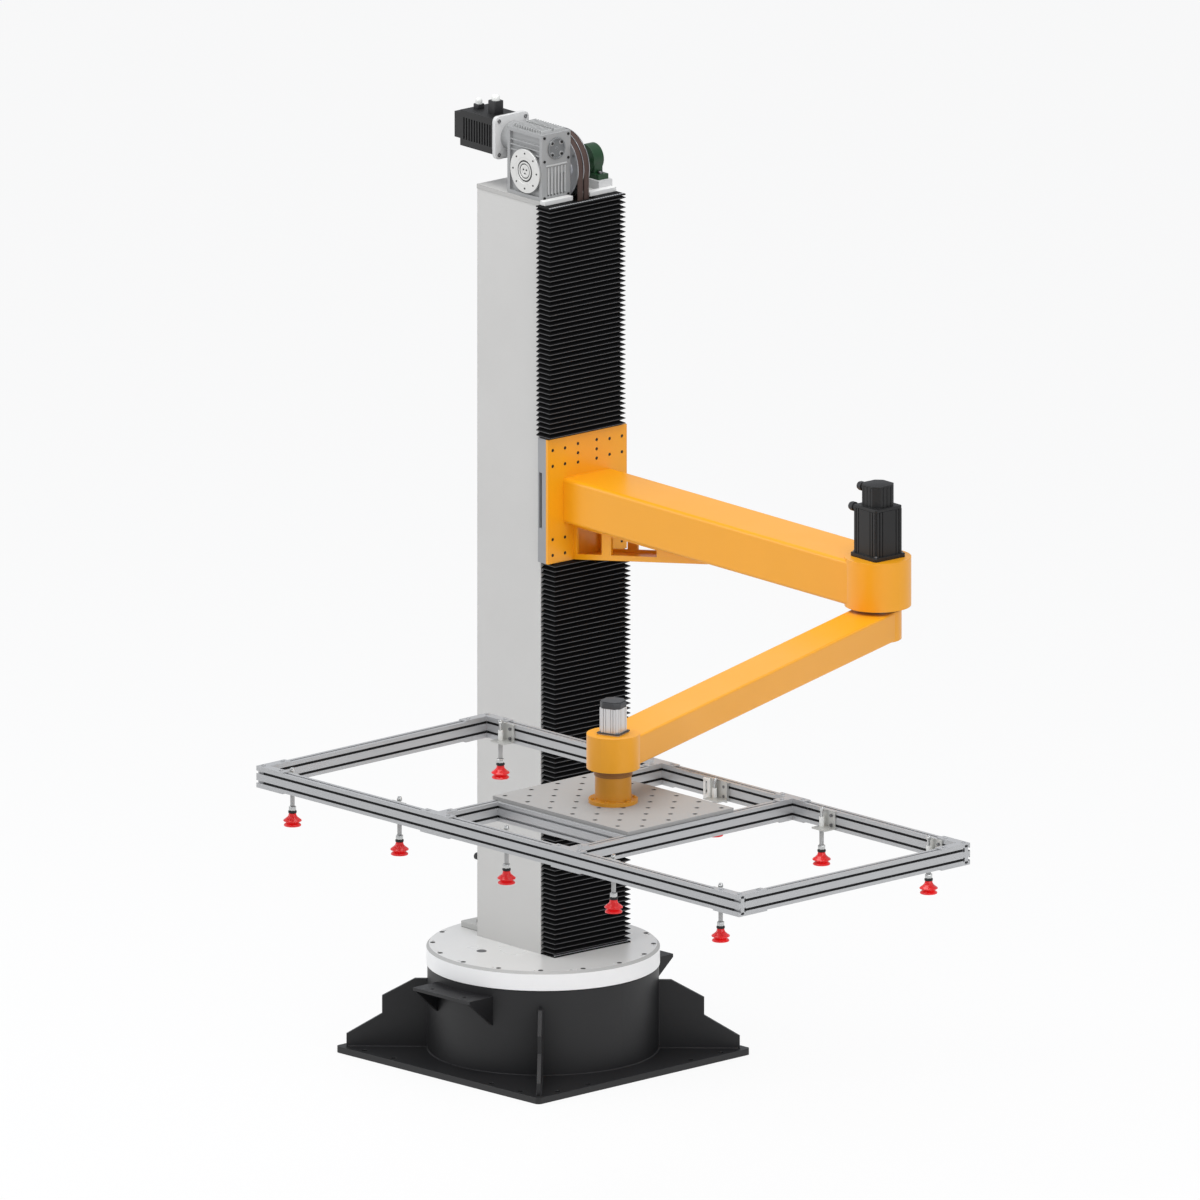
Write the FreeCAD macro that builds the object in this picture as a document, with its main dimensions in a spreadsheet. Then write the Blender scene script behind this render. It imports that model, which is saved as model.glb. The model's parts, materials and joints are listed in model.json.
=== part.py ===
import FreeCAD, Part
import Sketcher
import math
import os
import re

# Board loading robot: a turntable column with a lifting carriage, a two-link arm and a vacuum frame.
# Millimetres, +Z up. The origin is on the floor under the turntable axis, and X and Y follow the
# edges of the base plate. The column, the forearm and the vacuum frame each have a frame of their own,
# turned about Z, and a piece is drawn in the frame of the group that it belongs to.

os.makedirs("parts", exist_ok=True)
doc = FreeCAD.newDocument("board_loading_robot")
sheet = doc.addObject("Spreadsheet::Sheet", "Sizes")
ORIGIN = FreeCAD.Vector(0, 0, 0)
UP = FreeCAD.Vector(0, 0, 1)

SIZES = {
    # base
    "plate_side": 900, "plate_thick": 20, "plate_corner": 15,
    "anchor_offset": 425, "anchor_inner": 217, "anchor_outer": 345, "anchor_radius": 9,
    "drum_radius": 354.5, "drum_wall": 12, "drum_top": 285,
    "ledge_depth": 55, "ledge_thick": 15,
    "gusset_thick": 12, "gusset_reach": 602, "gusset_toe": 59, "gusset_step_reach": 493,
    "gusset_step_low": 124, "gusset_step_high": 180, "gusset_top_reach": 392, "gusset_top": 235,
    "shelf_width": 250, "shelf_reach": 431, "shelf_top": 261, "shelf_thick": 10,
    "shelf_rib_drop": 91, "shelf_hole_radius": 7, "shelf_hole_spread": 70, "shelf_hole_inset": 30,
    # slewing ring and drive inside the drum
    "ring_outer_radius": 330, "ring_split_radius": 298, "ring_inner_radius": 262, "ring_height": 34,
    "ring_gap": 0.5, 
    "drive_foot_radius": 120, "drive_foot_thick": 15, "drive_motor_radius": 80,
    "drive_motor_height": 135, "drive_gear_radius": 105, "drive_top": 263,
    "hub_radius": 60, "hub_shaft_radius": 25, "hub_shaft_depth": 30, "hub_gap": 2,
    "shaft_clearance": 0.05,
    # turntable
    "table_radius": 357.5, "table_bottom": 288, "table_top": 348, "table_edge": 8,
    "table_bolt_circle": 338, "table_bolt_count": 16, "table_bolt_radius": 5, "table_bolt_depth": 30,
    # column
    "column_turn": -3.3, "column_set_back": 50.5, "column_side_shift": 48.5,
    "column_depth": 300, "column_width": 285, "column_wall": 8, "column_top": 2723, "cap_thick": 14,
    "rail_spread": 100, "rail_width": 20, "rail_height": 17.5, "rail_low": 368, "rail_drop": 43,
    "foot_width": 219, "foot_reach": 117, "foot_rise": 145, "foot_thick": 20, "foot_leg": 11, "foot_rib": 12,
    # bellows
    "bellows_depth": 66, "bellows_width": 305, "pleat_depth": 13, "bellows_wall": 5,
    "pleat_pitch": 15.5, "bellows_offset": 10, "end_plate_thick": 4, "bellows_drop": 30,
    "seat_gap": 0.3,
    # carriage
    "carriage_low": 1591, "carriage_high": 1983.5, "carriage_width": 316.7,
    "block_face": 30, "block_width": 44, "block_length": 70, "block_spread": 125, "block_back": 4,
    "web_thick": 12.5, "cheek_thick": 14, "cheek_back": 5, "window_height": 176, "window_depth": 14,
    "face_thick": 10, "screw_column_out": 139, "screw_column_in": 89.5, "screw_column_mid": 37.5,
    "screw_row_top": 35, "screw_row_bottom": 26, "screw_row_step": 50, "mid_row_step": 29.5,
    "screw_head_radius": 5, "screw_head_height": 2,
    
    # lift belts and pulleys
    "pulley_axis_x": 77.5, "pulley_axis_rise": 85, "idler_rise": 150, "pulley_radius": 101.7,
    "belt_thick": 5, "belt_width": 18, "belt_spread": 12, "flange_lip": 7, "flange_thick": 2,
    "belt_gap": 0.3, "shaft_radius": 14, "clamp_height": 60,
    "clamp_back": 9, "groove_depth": 7, "groove_half": 28,
    # lift gearbox and its motor
    "gearbox_x": -11.5, "gearbox_length": 163, "gearbox_height": 209.6,
    "gearbox_side": -139.5, "gearbox_width": 115.5, 
    "worm_rise": 76, "output_flange_radius": 69, "output_flange_proud": 6,
    "worm_cover_radius": 33, "worm_cover_proud": 3, "gearbox_wall": 12, "rib_thick": 4,
    "input_neck_radius": 46, "input_neck_length": 45, "adapter_side": 134, "adapter_thick": 15,
    "lift_motor_side": 112, "lift_motor_length": 165, "lift_motor_tail": 45, "motor_fin": 4,
    "plug_side": 50, "plug_height": 40, "plug_tip_radius": 12, "plug_tip_height": 20,
    "bearing_y": 115.5, "bearing_width": 40, "bearing_foot": 150, "bearing_foot_thick": 16,
    "bearing_ring_radius": 44, "riser_height": 28,
    # main arm
    "arm_low": 1713, "arm_high": 1855, "arm_width": 195, "arm_wall": 6, "arm_round": 12,
    "elbow_reach": 1573.8, "elbow_boss_radius": 102.5, "elbow_boss_low": 1707, "elbow_boss_high": 1860,
    "elbow_lid_thick": 12, "elbow_bore_radius": 86,
    "bracket_length": 633, "bracket_half": 52, "bracket_plate": 8, "bracket_tip": 14,
    "bracket_frame": 17,
    "elbow_motor_side": 105, "elbow_motor_height": 151, "elbow_flange_side": 121,
    "elbow_flange_thick": 12, "encoder_radius": 43, "encoder_height": 59,
    "connector_radius": 9, "connector_length": 17,
    # forearm
    "elbow_turn": -67.7, "forearm_low": 1602, "forearm_high": 1695, "forearm_width": 140,
    "forearm_wall": 5, "forearm_reach": 1765.6, "forearm_end_radius": 73, "forearm_round": 8,
    "elbow_hub_radius": 62, "wrist_boss_radius": 82, "wrist_boss_low": 1596, "wrist_boss_high": 1704,
    "wrist_lid_thick": 10, "wrist_bore_radius": 66,
    "wrist_seat_side": 70, "wrist_seat_thick": 6, "wrist_motor_side": 68, "wrist_motor_height": 77,
    "wrist_motor_corner": 15, "wrist_cap_height": 22, "wrist_cap_corner": 20,
    # wrist spindle and tool plate
    "tool_turn": 70, "spindle_radius": 56, "collar_radius": 58, "collar_height": 23, "stub_length": 8,
    "spindle_flange_radius": 76, "spindle_flange_thick": 12, "spindle_bolt_circle": 66,
    "spindle_bolt_radius": 4, "plate_length": 610, "plate_width": 440, "tool_plate_thick": 12,
    "plate_hole_radius": 6, "plate_hole_pitch": 62,
    # vacuum frame
    "frame_length": 2178, "frame_width": 962, "profile_width": 30, "profile_height": 60,
    "frame_low": 1415, "slot_opening": 8, "slot_lip": 2, "slot_inner": 15, "slot_depth": 8,
    "cross_bar_spread": 295, "cross_bar_shift": 10, "inner_bar_spread": 217,
    "joiner_thick": 4, "corner_leg": 118, "tee_length": 130,
    # suction cups
    "cup_pitch": 483, "cup_row_shift": -12, "cup_row_spread": 433, "angle_width": 60,
    "angle_height": 57, "angle_depth": 46, "angle_thick": 5, "angle_lift": 3,
    "stem_radius": 5, "stem_gap": 0.5,
    "bush_radius": 7.5, "bush_height": 30, "nut_radius": 10.5, "nut_height": 12, "collar_ring_radius": 13,
    "collar_ring_height": 7, "cup_radius": 27.5, "cup_neck_radius": 12, "cup_height": 40,
    "cup_wall": 3, "lip_level": 1303, "fitting_rise": 12, "fitting_radius": 8,
}
for row, (name, number) in enumerate(SIZES.items(), start=1):
    sheet.set("A%d" % row, name)
    sheet.set("B%d" % row, str(number))
    sheet.setAlias("B%d" % row, name)
doc.recompute()

NAMES = re.compile(r"\b(" + "|".join(sorted(SIZES, key=len, reverse=True)) + r")\b")


def mm(name):
    """The number that the sheet holds under a name."""
    return float(sheet.get(name))


def bind(piece, prop, formula):
    """Ties a property to a formula of sheet names."""
    piece.setExpression(prop, NAMES.sub(r"Sizes.\1", str(formula)))


def place(piece, x="0", y="0", z="0"):
    for axis, formula in zip("xyz", (x, y, z)):
        bind(piece, "Placement.Base." + axis, formula)
    return piece


def block(name, length, width, height, x="0", y="0", z="0"):
    """A box by its sizes and its lowest corner."""
    piece = doc.addObject("Part::Box", name)
    bind(piece, "Length", length)
    bind(piece, "Width", width)
    bind(piece, "Height", height)
    return place(piece, x, y, z)


def middle_block(name, length, width, height, x="0", y="0", z="0"):
    """A box centred in X and Y on a point, standing on z."""
    return block(name, length, width, height, f"({x})-({length})/2", f"({y})-({width})/2", z)


def rod(name, radius, height, x="0", y="0", z="0", along="z"):
    """A cylinder from a point along one axis."""
    piece = doc.addObject("Part::Cylinder", name)
    bind(piece, "Radius", radius)
    bind(piece, "Height", height)
    turns = {"z": FreeCAD.Rotation(), "x": FreeCAD.Rotation(0, 90, 0), "y": FreeCAD.Rotation(0, 0, -90)}
    piece.Placement = FreeCAD.Placement(ORIGIN, turns[along])
    return place(piece, x, y, z)


def cut(name, base, *tools):
    tool = tools[0] if len(tools) == 1 else fuse(name + "_tools", *tools)
    piece = doc.addObject("Part::Cut", name)
    piece.Base = base
    piece.Tool = tool
    return piece


def fuse(name, *shapes):
    piece = doc.addObject("Part::MultiFuse", name)
    piece.Shapes = list(shapes)
    return piece


def group(name, *shapes):
    piece = doc.addObject("Part::Compound", name)
    piece.Links = list(shapes)
    return piece


def outline(name, points, thickness, start, plane="XZ"):
    """A PartDesign body: a closed outline of named corners, padded through a plate's thickness."""
    body = doc.addObject("PartDesign::Body", name)
    role = plane + "_Plane"
    origin_plane = [f for f in body.Origin.OriginFeatures if f.Role == role][0]
    sketch = body.newObject("Sketcher::SketchObject", name + "_outline")
    sketch.AttachmentSupport = [(origin_plane, "")]
    sketch.MapMode = "FlatFace"
    count = len(points)
    for index in range(count):
        first = FreeCAD.Vector(index, index * index, 0)
        last = FreeCAD.Vector(index + 1, (index + 1) * (index + 1), 0)
        sketch.addGeometry(Part.LineSegment(first, last), False)
    for index in range(count):
        sketch.addConstraint(Sketcher.Constraint("Coincident", index, 2, (index + 1) % count, 1))
    for index, (across, up) in enumerate(points):
        for kind, formula in (("DistanceX", across), ("DistanceY", up)):
            number = sketch.addConstraint(Sketcher.Constraint(kind, -1, 1, index, 1, 1.0 + index))
            bind(sketch, "Constraints[%d]" % number, formula)
    doc.recompute()
    pad = body.newObject("PartDesign::Pad", name + "_plate")
    pad.Profile = sketch
    bind(pad, "Length", thickness)
    pad.Midplane = start == "middle"
    body.Tip = pad
    return body


def turned(piece, angle, axis=UP):
    piece.Placement = FreeCAD.Placement(ORIGIN, FreeCAD.Rotation(axis, angle))
    return piece


COLUMN_X = "(-column_set_back*cos(column_turn)-column_side_shift*sin(column_turn))"
COLUMN_Y = "(column_side_shift*cos(column_turn)-column_set_back*sin(column_turn))"
ELBOW_X = COLUMN_X + "+elbow_reach*cos(column_turn)"
ELBOW_Y = COLUMN_Y + "+elbow_reach*sin(column_turn)"
WRIST_X = ELBOW_X + "+forearm_reach*cos(column_turn+elbow_turn)"
WRIST_Y = ELBOW_Y + "+forearm_reach*sin(column_turn+elbow_turn)"
FRAMES = {
    "base": ("0", "0", "0"),
    "table": ("0", "0", "column_turn"),
    "column": (COLUMN_X, COLUMN_Y, "column_turn"),
    "forearm": (ELBOW_X, ELBOW_Y, "column_turn+elbow_turn"),
    "tool": (WRIST_X, WRIST_Y, "column_turn+elbow_turn+tool_turn"),
}
NODES = []


def node(piece, frame):
    """Names a finished sub-part and moves it from its group's frame to the robot's frame."""
    label = piece.Name
    holder = doc.addObject("Part::Compound", label + "_placed")
    holder.Links = [piece]
    x, y, turn = FRAMES[frame]
    holder.Placement = FreeCAD.Placement(ORIGIN, FreeCAD.Rotation(UP, 10))
    place(holder, x, y)
    bind(holder, "Placement.Rotation.Angle", turn)
    piece.Label = label + "_shape"
    holder.Label = label
    NODES.append(holder)
    return holder


# Base plate with four anchor holes along each edge
plate_blank = middle_block("plate_blank", "plate_side", "plate_side", "plate_thick")
doc.recompute()
plate = doc.addObject("Part::Fillet", "plate_round")
plate.Base = plate_blank
upright = [i + 1 for i, e in enumerate(plate_blank.Shape.Edges) if abs(e.tangentAt(e.FirstParameter).z) > 0.9]
plate.Edges = [(i, mm("plate_corner"), mm("plate_corner")) for i in upright]
holes = []
for side in (1, -1):
    for spot in ("anchor_inner", "anchor_outer", "-anchor_inner", "-anchor_outer"):
        count = len(holes)
        holes.append(rod(f"anchor_{count}", "anchor_radius", "plate_thick", f"{side}*anchor_offset", spot))
        holes.append(rod(f"anchor_{count + 1}", "anchor_radius", "plate_thick", spot,
                         f"{side}*anchor_offset"))
node(cut("base_plate", plate, *holes), "base")

# Drum with an inner ledge that carries the slewing ring
drum_height = "drum_top-plate_thick"
drum_shell = rod("drum_shell", "drum_radius", drum_height, z="plate_thick")
ledge_top = "drum_top-ring_height"
ledge_low = "drum_top-ring_height-ledge_thick"
room_above = rod("room_above", "drum_radius-drum_wall", "ring_height", z=ledge_top)
room_ledge = rod("room_ledge", "drum_radius-drum_wall-ledge_depth", "ledge_thick", z=ledge_low)
room_below = rod("room_below", "drum_radius-drum_wall", ledge_low + "-plate_thick", z="plate_thick")
node(cut("base_drum", drum_shell, room_above, room_ledge, room_below), "base")

# Four stepped gussets on the diagonals of the base plate
gussets = []
for corner in range(4):
    points = [
        ("drum_radius-1", "plate_thick"), ("gusset_reach", "plate_thick"), ("gusset_reach", "gusset_toe"),
        ("gusset_step_reach", "gusset_step_low"), ("gusset_step_reach", "gusset_step_high"),
        ("gusset_top_reach", "gusset_top"), ("drum_radius-1", "gusset_top"),
    ]
    plate_body = outline(f"gusset_{corner}", points, "gusset_thick", "middle")
    plate_body.Placement = FreeCAD.Placement(ORIGIN, FreeCAD.Rotation(UP, 45 + 90 * corner))
    gussets.append(plate_body)
drum_clear = rod("drum_clear", "drum_radius", drum_height, z="plate_thick")
node(cut("drum_gussets", fuse("gusset_set", *gussets), drum_clear), "base")

# Two shelves on opposite sides of the drum, each on two triangular ribs
shelves = []
for number, side in enumerate((1, -1)):
    shelf_depth = "(shelf_reach-drum_radius/2)"
    top = block(f"shelf_top_{number}", "shelf_width", shelf_depth, "shelf_thick",
                "-shelf_width/2", "drum_radius/2", "shelf_top-shelf_thick")
    parts = [top]
    for end, shift in enumerate(("-shelf_width/2+shelf_thick/2", "shelf_width/2-shelf_thick/2")):
        points = [("drum_radius/2", "shelf_top-shelf_thick"), ("shelf_reach", "shelf_top-shelf_thick"),
                  ("drum_radius-20", "shelf_top-shelf_rib_drop"), ("drum_radius/2", "shelf_top-shelf_rib_drop")]
        rib = outline(f"shelf_rib_{number}_{end}", points, "shelf_thick", "middle", "YZ")
        bind(rib, "Placement.Base.x", shift)
        parts.append(rib)
    solid = fuse(f"shelf_{number}", *parts)
    bores = []
    for end in (1, -1):
        bores.append(rod(f"shelf_bore_{number}_{1 + end}", "shelf_hole_radius", "shelf_thick",
                         f"{end}*shelf_hole_spread", "shelf_reach-shelf_hole_inset", "shelf_top-shelf_thick"))
    shelf = cut(f"shelf_bored_{number}", solid, *bores)
    shelves.append(turned(shelf, 0 if side > 0 else 180))
shelf_clear = rod("shelf_clear", "drum_radius", "drum_top")
node(cut("side_shelves", fuse("shelf_set", *shelves), shelf_clear), "base")

# Slewing ring: the outer race bolts to the drum, the inner race to the turntable
outer_disc = rod("outer_disc", "ring_outer_radius", "ring_height", z=ledge_top)
outer_hole = rod("outer_hole", "ring_split_radius", "ring_height", z=ledge_top)
node(cut("slew_outer_race", outer_disc, outer_hole), "base")
race_low = "table_bottom-ring_height"
inner_disc = rod("inner_disc", "ring_split_radius-ring_gap", "ring_height", z=race_low)
inner_hole = rod("inner_hole", "ring_inner_radius", "ring_height", z=race_low)
node(cut("slew_inner_race", inner_disc, inner_hole), "table")

# Turntable drive: a gearmotor that stands on the base plate and turns the table's hub
gear_low = "plate_thick+drive_foot_thick+drive_motor_height"
drive = fuse("drive_body",
             rod("drive_foot", "drive_foot_radius", "drive_foot_thick", z="plate_thick"),
             rod("drive_motor", "drive_motor_radius", "drive_motor_height", z="plate_thick+drive_foot_thick"),
             rod("drive_gear", "drive_gear_radius", f"drive_top-({gear_low})", z=gear_low))
drive_bore = rod("drive_bore", "hub_shaft_radius+shaft_clearance", "hub_shaft_depth+5",
                 z="drive_top-hub_shaft_depth-5")
node(cut("slew_gearmotor", drive, drive_bore), "base")
hub = fuse("slew_hub",
           rod("hub_disc", "hub_radius", "table_bottom-drive_top-hub_gap", z="drive_top+hub_gap"),
           rod("hub_shaft", "hub_shaft_radius", "hub_shaft_depth+hub_gap", z="drive_top-hub_shaft_depth"))
node(hub, "table")

# Turntable with a ring of bolts near its rounded edge
table_body = rod("table_body", "table_radius", "table_top-table_bottom-table_edge", z="table_bottom")
table_bevel = doc.addObject("Part::Cone", "table_bevel")
bind(table_bevel, "Radius1", "table_radius")
bind(table_bevel, "Radius2", "table_radius-table_edge")
bind(table_bevel, "Height", "table_edge")
place(table_bevel, z="table_top-table_edge")
bolt_holes = []
for index in range(int(mm("table_bolt_count"))):
    turn = f"{index}*360/table_bolt_count"
    bolt_holes.append(rod(f"table_hole_{index}", "table_bolt_radius", "table_bolt_depth",
                          f"table_bolt_circle*cos({turn})", f"table_bolt_circle*sin({turn})",
                          "table_top-table_bolt_depth"))
node(cut("turntable", fuse("table_blank", table_body, table_bevel), *bolt_holes), "table")

# Column: a welded box with a cap, open where the belts leave it
front = "column_depth/2"
column_blank = middle_block("column_blank", "column_depth", "column_width", "column_top-table_top", z="table_top")
column_room = middle_block("column_room", "column_depth-2*column_wall", "column_width-2*column_wall",
                           "column_top-cap_thick-table_top", z="table_top")
slot_half = "(belt_spread+belt_width/2+flange_thick+12)"
belt_slot = block("belt_slot", "pulley_radius+2*belt_thick+20+" + front, "2*" + slot_half, "cap_thick",
                  "pulley_axis_x-pulley_radius-2*belt_thick", "-" + slot_half, "column_top-cap_thick")
notch_drop = "pulley_radius+flange_lip+6-pulley_axis_rise"
top_notch = block("top_notch", "3*column_wall", "2*" + slot_half, notch_drop,
                  front + "-2*column_wall", "-" + slot_half, f"column_top-({notch_drop})")
idler_z = "(table_top+idler_rise)"
idler_slot = block("idler_slot", "3*column_wall", "2*" + slot_half, "2*pulley_radius+2*flange_lip+20",
                   front + "-2*column_wall", "-" + slot_half, idler_z + "-pulley_radius-flange_lip-10")
node(cut("column", column_blank, column_room, belt_slot, top_notch, idler_slot), "column")

# Foot bracket behind the column, held by four bolts
foot_x = "(-column_depth/2)"
foot_parts = [
    block("foot_flat", "foot_reach", "foot_width", "foot_thick", foot_x + "-foot_reach", "-foot_width/2", "table_top"),
    block("foot_wall", "foot_leg", "foot_width", "foot_rise", foot_x + "-foot_leg", "-foot_width/2", "table_top"),
]
for index, spot in enumerate(("-foot_width/2", "-foot_rib/2", "foot_width/2-foot_rib")):
    points = [(foot_x + "-foot_reach+5", "table_top"), (foot_x + "-foot_leg", "table_top"),
              (foot_x + "-foot_leg", "table_top+foot_rise-5")]
    rib = outline(f"foot_rib_{index}", points, "foot_rib", "side")
    bind(rib, "Placement.Base.y", spot + "+foot_rib")
    foot_parts.append(rib)
for index, side in enumerate((1, -1)):
    foot_parts.append(rod(f"foot_bolt_{index}", "8", "foot_thick+8", foot_x + "-foot_reach/2-foot_thick/2",
                          f"{side}*foot_width/4", "table_top"))
node(fuse("column_foot", *foot_parts), "column")

# Two guide rails up the front of the column
rails = []
for index, side in enumerate((1, -1)):
    rails.append(middle_block(f"guide_rail_{index}", "rail_height", "rail_width", "column_top-rail_drop-rail_low",
                              front + "+rail_height/2", f"{side}*rail_spread", "rail_low"))
node(group("guide_rails", *rails), "column")


def bellows(name, low, high, shift):
    """A three-sided pleated sleeve, open towards the column, from its sizes in the sheet."""
    back = mm("column_depth") / 2 + mm("seat_gap")
    reach = mm("column_depth") / 2 + mm("bellows_depth")
    half = mm("bellows_width") / 2
    pleat = mm("pleat_depth")
    inner_reach = reach - pleat - mm("bellows_wall")
    inner_half = half - pleat - mm("bellows_wall")
    count = max(2, round((high - low) / mm("pleat_pitch")))
    levels = []
    for step in range(2 * count + 1):
        inset = pleat if step % 2 == 0 else 0
        levels.append((low + (high - low) * step / (2 * count), inset))

    def ring(z, inset):
        left, right = shift - half + inset, shift + half - inset
        far = reach - inset
        return [FreeCAD.Vector(x, y, z) for x, y in ((back, left), (far, left), (far, right), (back, right))]

    def hollow(z):
        left, right = shift - inner_half, shift + inner_half
        return [FreeCAD.Vector(x, y, z) for x, y in
                ((back, right), (inner_reach, right), (inner_reach, left), (back, left))]

    def face(corners):
        return Part.Face(Part.makePolygon(list(corners) + [corners[0]]))

    rings = [ring(z, inset) for z, inset in levels]
    faces = []
    for lower, upper in zip(rings, rings[1:]):
        for side in range(3):
            faces.append(face([lower[side], lower[side + 1], upper[side + 1], upper[side]]))
    floor, roof = hollow(low), hollow(high)
    for side in range(3):
        faces.append(face([floor[side], floor[side + 1], roof[side + 1], roof[side]]))
    faces.append(face([r[0] for r in rings] + [roof[3], floor[3]]))
    faces.append(face([r[3] for r in rings] + [roof[0], floor[0]]))
    faces.append(face(rings[0] + floor))
    faces.append(face(rings[-1] + roof))
    shell = Part.Shell(faces)
    shell.sewShape()
    solid = Part.Solid(shell)
    if solid.Volume < 0:
        solid.reverse()
    piece = doc.addObject("Part::Feature", name)
    piece.Shape = solid
    return piece


gap = mm("seat_gap")
offset = mm("bellows_offset")
plate_gap = mm("end_plate_thick")
upper_end = mm("column_top") - mm("bellows_drop") - plate_gap - gap
node(bellows("upper_bellows", mm("carriage_high") + gap, upper_end, -offset), "column")
node(bellows("lower_bellows", mm("table_top") + plate_gap + gap, mm("carriage_low") - gap, offset), "column")

# End plates that hold the bellows to the column, notched for the belts
end_plates = []
for name, level, shift in (("upper", "column_top-bellows_drop-end_plate_thick", "-bellows_offset"),
                           ("lower", "table_top", "bellows_offset")):
    sheet_metal = block(f"{name}_end", "bellows_depth", "bellows_width", "end_plate_thick",
                        front, f"{shift}-bellows_width/2", level)
    notch = block(f"{name}_notch", "pulley_axis_x+pulley_radius+2*belt_thick+6-" + front, "2*" + slot_half,
                  "end_plate_thick", front, "-" + slot_half, level)
    end_plates.append(cut(f"{name}_end_plate", sheet_metal, notch))
node(group("bellows_end_plates", *end_plates), "column")

# Lift belts: two flat loops round the drive pulley and the idler
axis_z = "(column_top+pulley_axis_rise)"
loops = []
for index, side in enumerate((1, -1)):
    rings = []
    for layer, radius in (("outside", "pulley_radius+belt_gap+belt_thick"), ("inside", "pulley_radius+belt_gap")):
        y_low = f"{side}*belt_spread-belt_width/2"
        rings.append(fuse(f"belt_{layer}_{index}",
                          rod(f"belt_{layer}_top_{index}", radius, "belt_width", "pulley_axis_x", y_low, axis_z, "y"),
                          rod(f"belt_{layer}_low_{index}", radius, "belt_width", "pulley_axis_x", y_low, idler_z, "y"),
                          block(f"belt_{layer}_run_{index}", f"2*({radius})", "belt_width", f"{axis_z}-{idler_z}",
                                f"pulley_axis_x-({radius})", y_low, idler_z)))
    loops.append(cut(f"belt_{index}", rings[0], rings[1]))
node(group("lift_belts", *loops), "column")


def pulley(name, level, bore_radius):
    """A double belt pulley with three lips, bored for its shaft."""
    half = "(belt_spread+belt_width/2+0.5)"
    body = rod(f"{name}_rim", "pulley_radius", f"2*{half}", "pulley_axis_x", "-" + half, level, "y")
    shapes = [body]
    for index, spot in enumerate((f"-{half}-flange_thick", "-flange_thick/2", half)):
        shapes.append(rod(f"{name}_lip_{index}", "pulley_radius+flange_lip", "flange_thick",
                          "pulley_axis_x", spot, level, "y"))
    bore = rod(f"{name}_bore", bore_radius, f"2*{half}+4*flange_thick", "pulley_axis_x",
               f"-{half}-2*flange_thick", level, "y")
    lightening = []
    for index in range(5):
        turn = f"{index}*72"
        lightening.append(rod(f"{name}_window_{index}", "pulley_radius/4.5", f"2*{half}+4*flange_thick",
                              f"pulley_axis_x+pulley_radius*0.6*cos({turn})", f"-{half}-2*flange_thick",
                              f"{level}+pulley_radius*0.6*sin({turn})", "y"))
    return cut(name, fuse(f"{name}_blank", *shapes), bore, *lightening)


node(pulley("drive_pulley", axis_z, "shaft_radius"), "column")
node(pulley("idler_pulley", idler_z, "shaft_radius+shaft_clearance"), "column")
shaft_start = "(gearbox_side+gearbox_width/4)"
node(rod("drive_shaft", "shaft_radius", f"bearing_y+bearing_width/2+12-({shaft_start})",
         "pulley_axis_x", shaft_start, axis_z, "y"), "column")

# Idler shaft, clamped between the two side walls of the column
inner_half = "(column_width/2-column_wall)"
idler_shaft = rod("idler_shaft", "shaft_radius", f"2*{inner_half}", "pulley_axis_x", "-" + inner_half, idler_z, "y")
node(idler_shaft, "column")

# Worm gearbox: a housing with recessed side faces, a finned end and a finned top
gx, gy, gz = "gearbox_x", "gearbox_side", "column_top"
housing = block("gear_housing", "gearbox_length", "gearbox_width", "gearbox_height", gx, gy, gz)
pockets = []
for name, y_spot in (("near", gy), ("far", "gearbox_side+gearbox_width-8")):
    pockets.append(block(f"{name}_pocket", "gearbox_length-2*gearbox_wall", "8",
                         "gearbox_height-2*gearbox_wall", "gearbox_x+gearbox_wall", y_spot, "column_top+gearbox_wall"))
for index in range(6):
    step = f"(gearbox_width-40)/6*{index}"
    pockets.append(block(f"end_groove_{index}", "6", "(gearbox_width-40)/12", "gearbox_height*0.32",
                         "gearbox_x+gearbox_length-6", f"gearbox_side+22+{step}", "column_top+14"))
for index in range(9):
    step = f"(gearbox_length-50)/9*{index}"
    pockets.append(block(f"top_groove_{index}", "(gearbox_length-50)/18", "gearbox_width-20", "5",
                         f"gearbox_x+12+{step}", "gearbox_side+10", "column_top+gearbox_height-5"))
ribs = [rod("gear_boss", "output_flange_radius-4", "gearbox_width-1", "pulley_axis_x", gy, axis_z, "y")]
for index in range(3):
    rise = f"gearbox_height*0.66+{index}*16"
    for name, y_spot in (("near", "gearbox_side+2"), ("far", "gearbox_side+gearbox_width-8")):
        ribs.append(block(f"{name}_rib_{index}", "gearbox_length-2*gearbox_wall", "6", "rib_thick",
                          "gearbox_x+gearbox_wall", y_spot, f"column_top+{rise}"))
worm_z = f"({axis_z}+worm_rise)"
gear_mid_y = "gearbox_side+gearbox_width/2"
neck = rod("input_neck", "input_neck_radius", "input_neck_length", "gearbox_x-input_neck_length", gear_mid_y,
           worm_z, "x")
gear_case = fuse("gear_case", cut("gear_cut", housing, *pockets), neck, *ribs)
shaft_bore = rod("gear_bore", "shaft_radius+shaft_clearance", "gearbox_width*3/4+1", "pulley_axis_x",
                 "gearbox_side+gearbox_width/4-1", axis_z, "y")
node(cut("lift_gearbox", gear_case, shaft_bore), "column")

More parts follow.
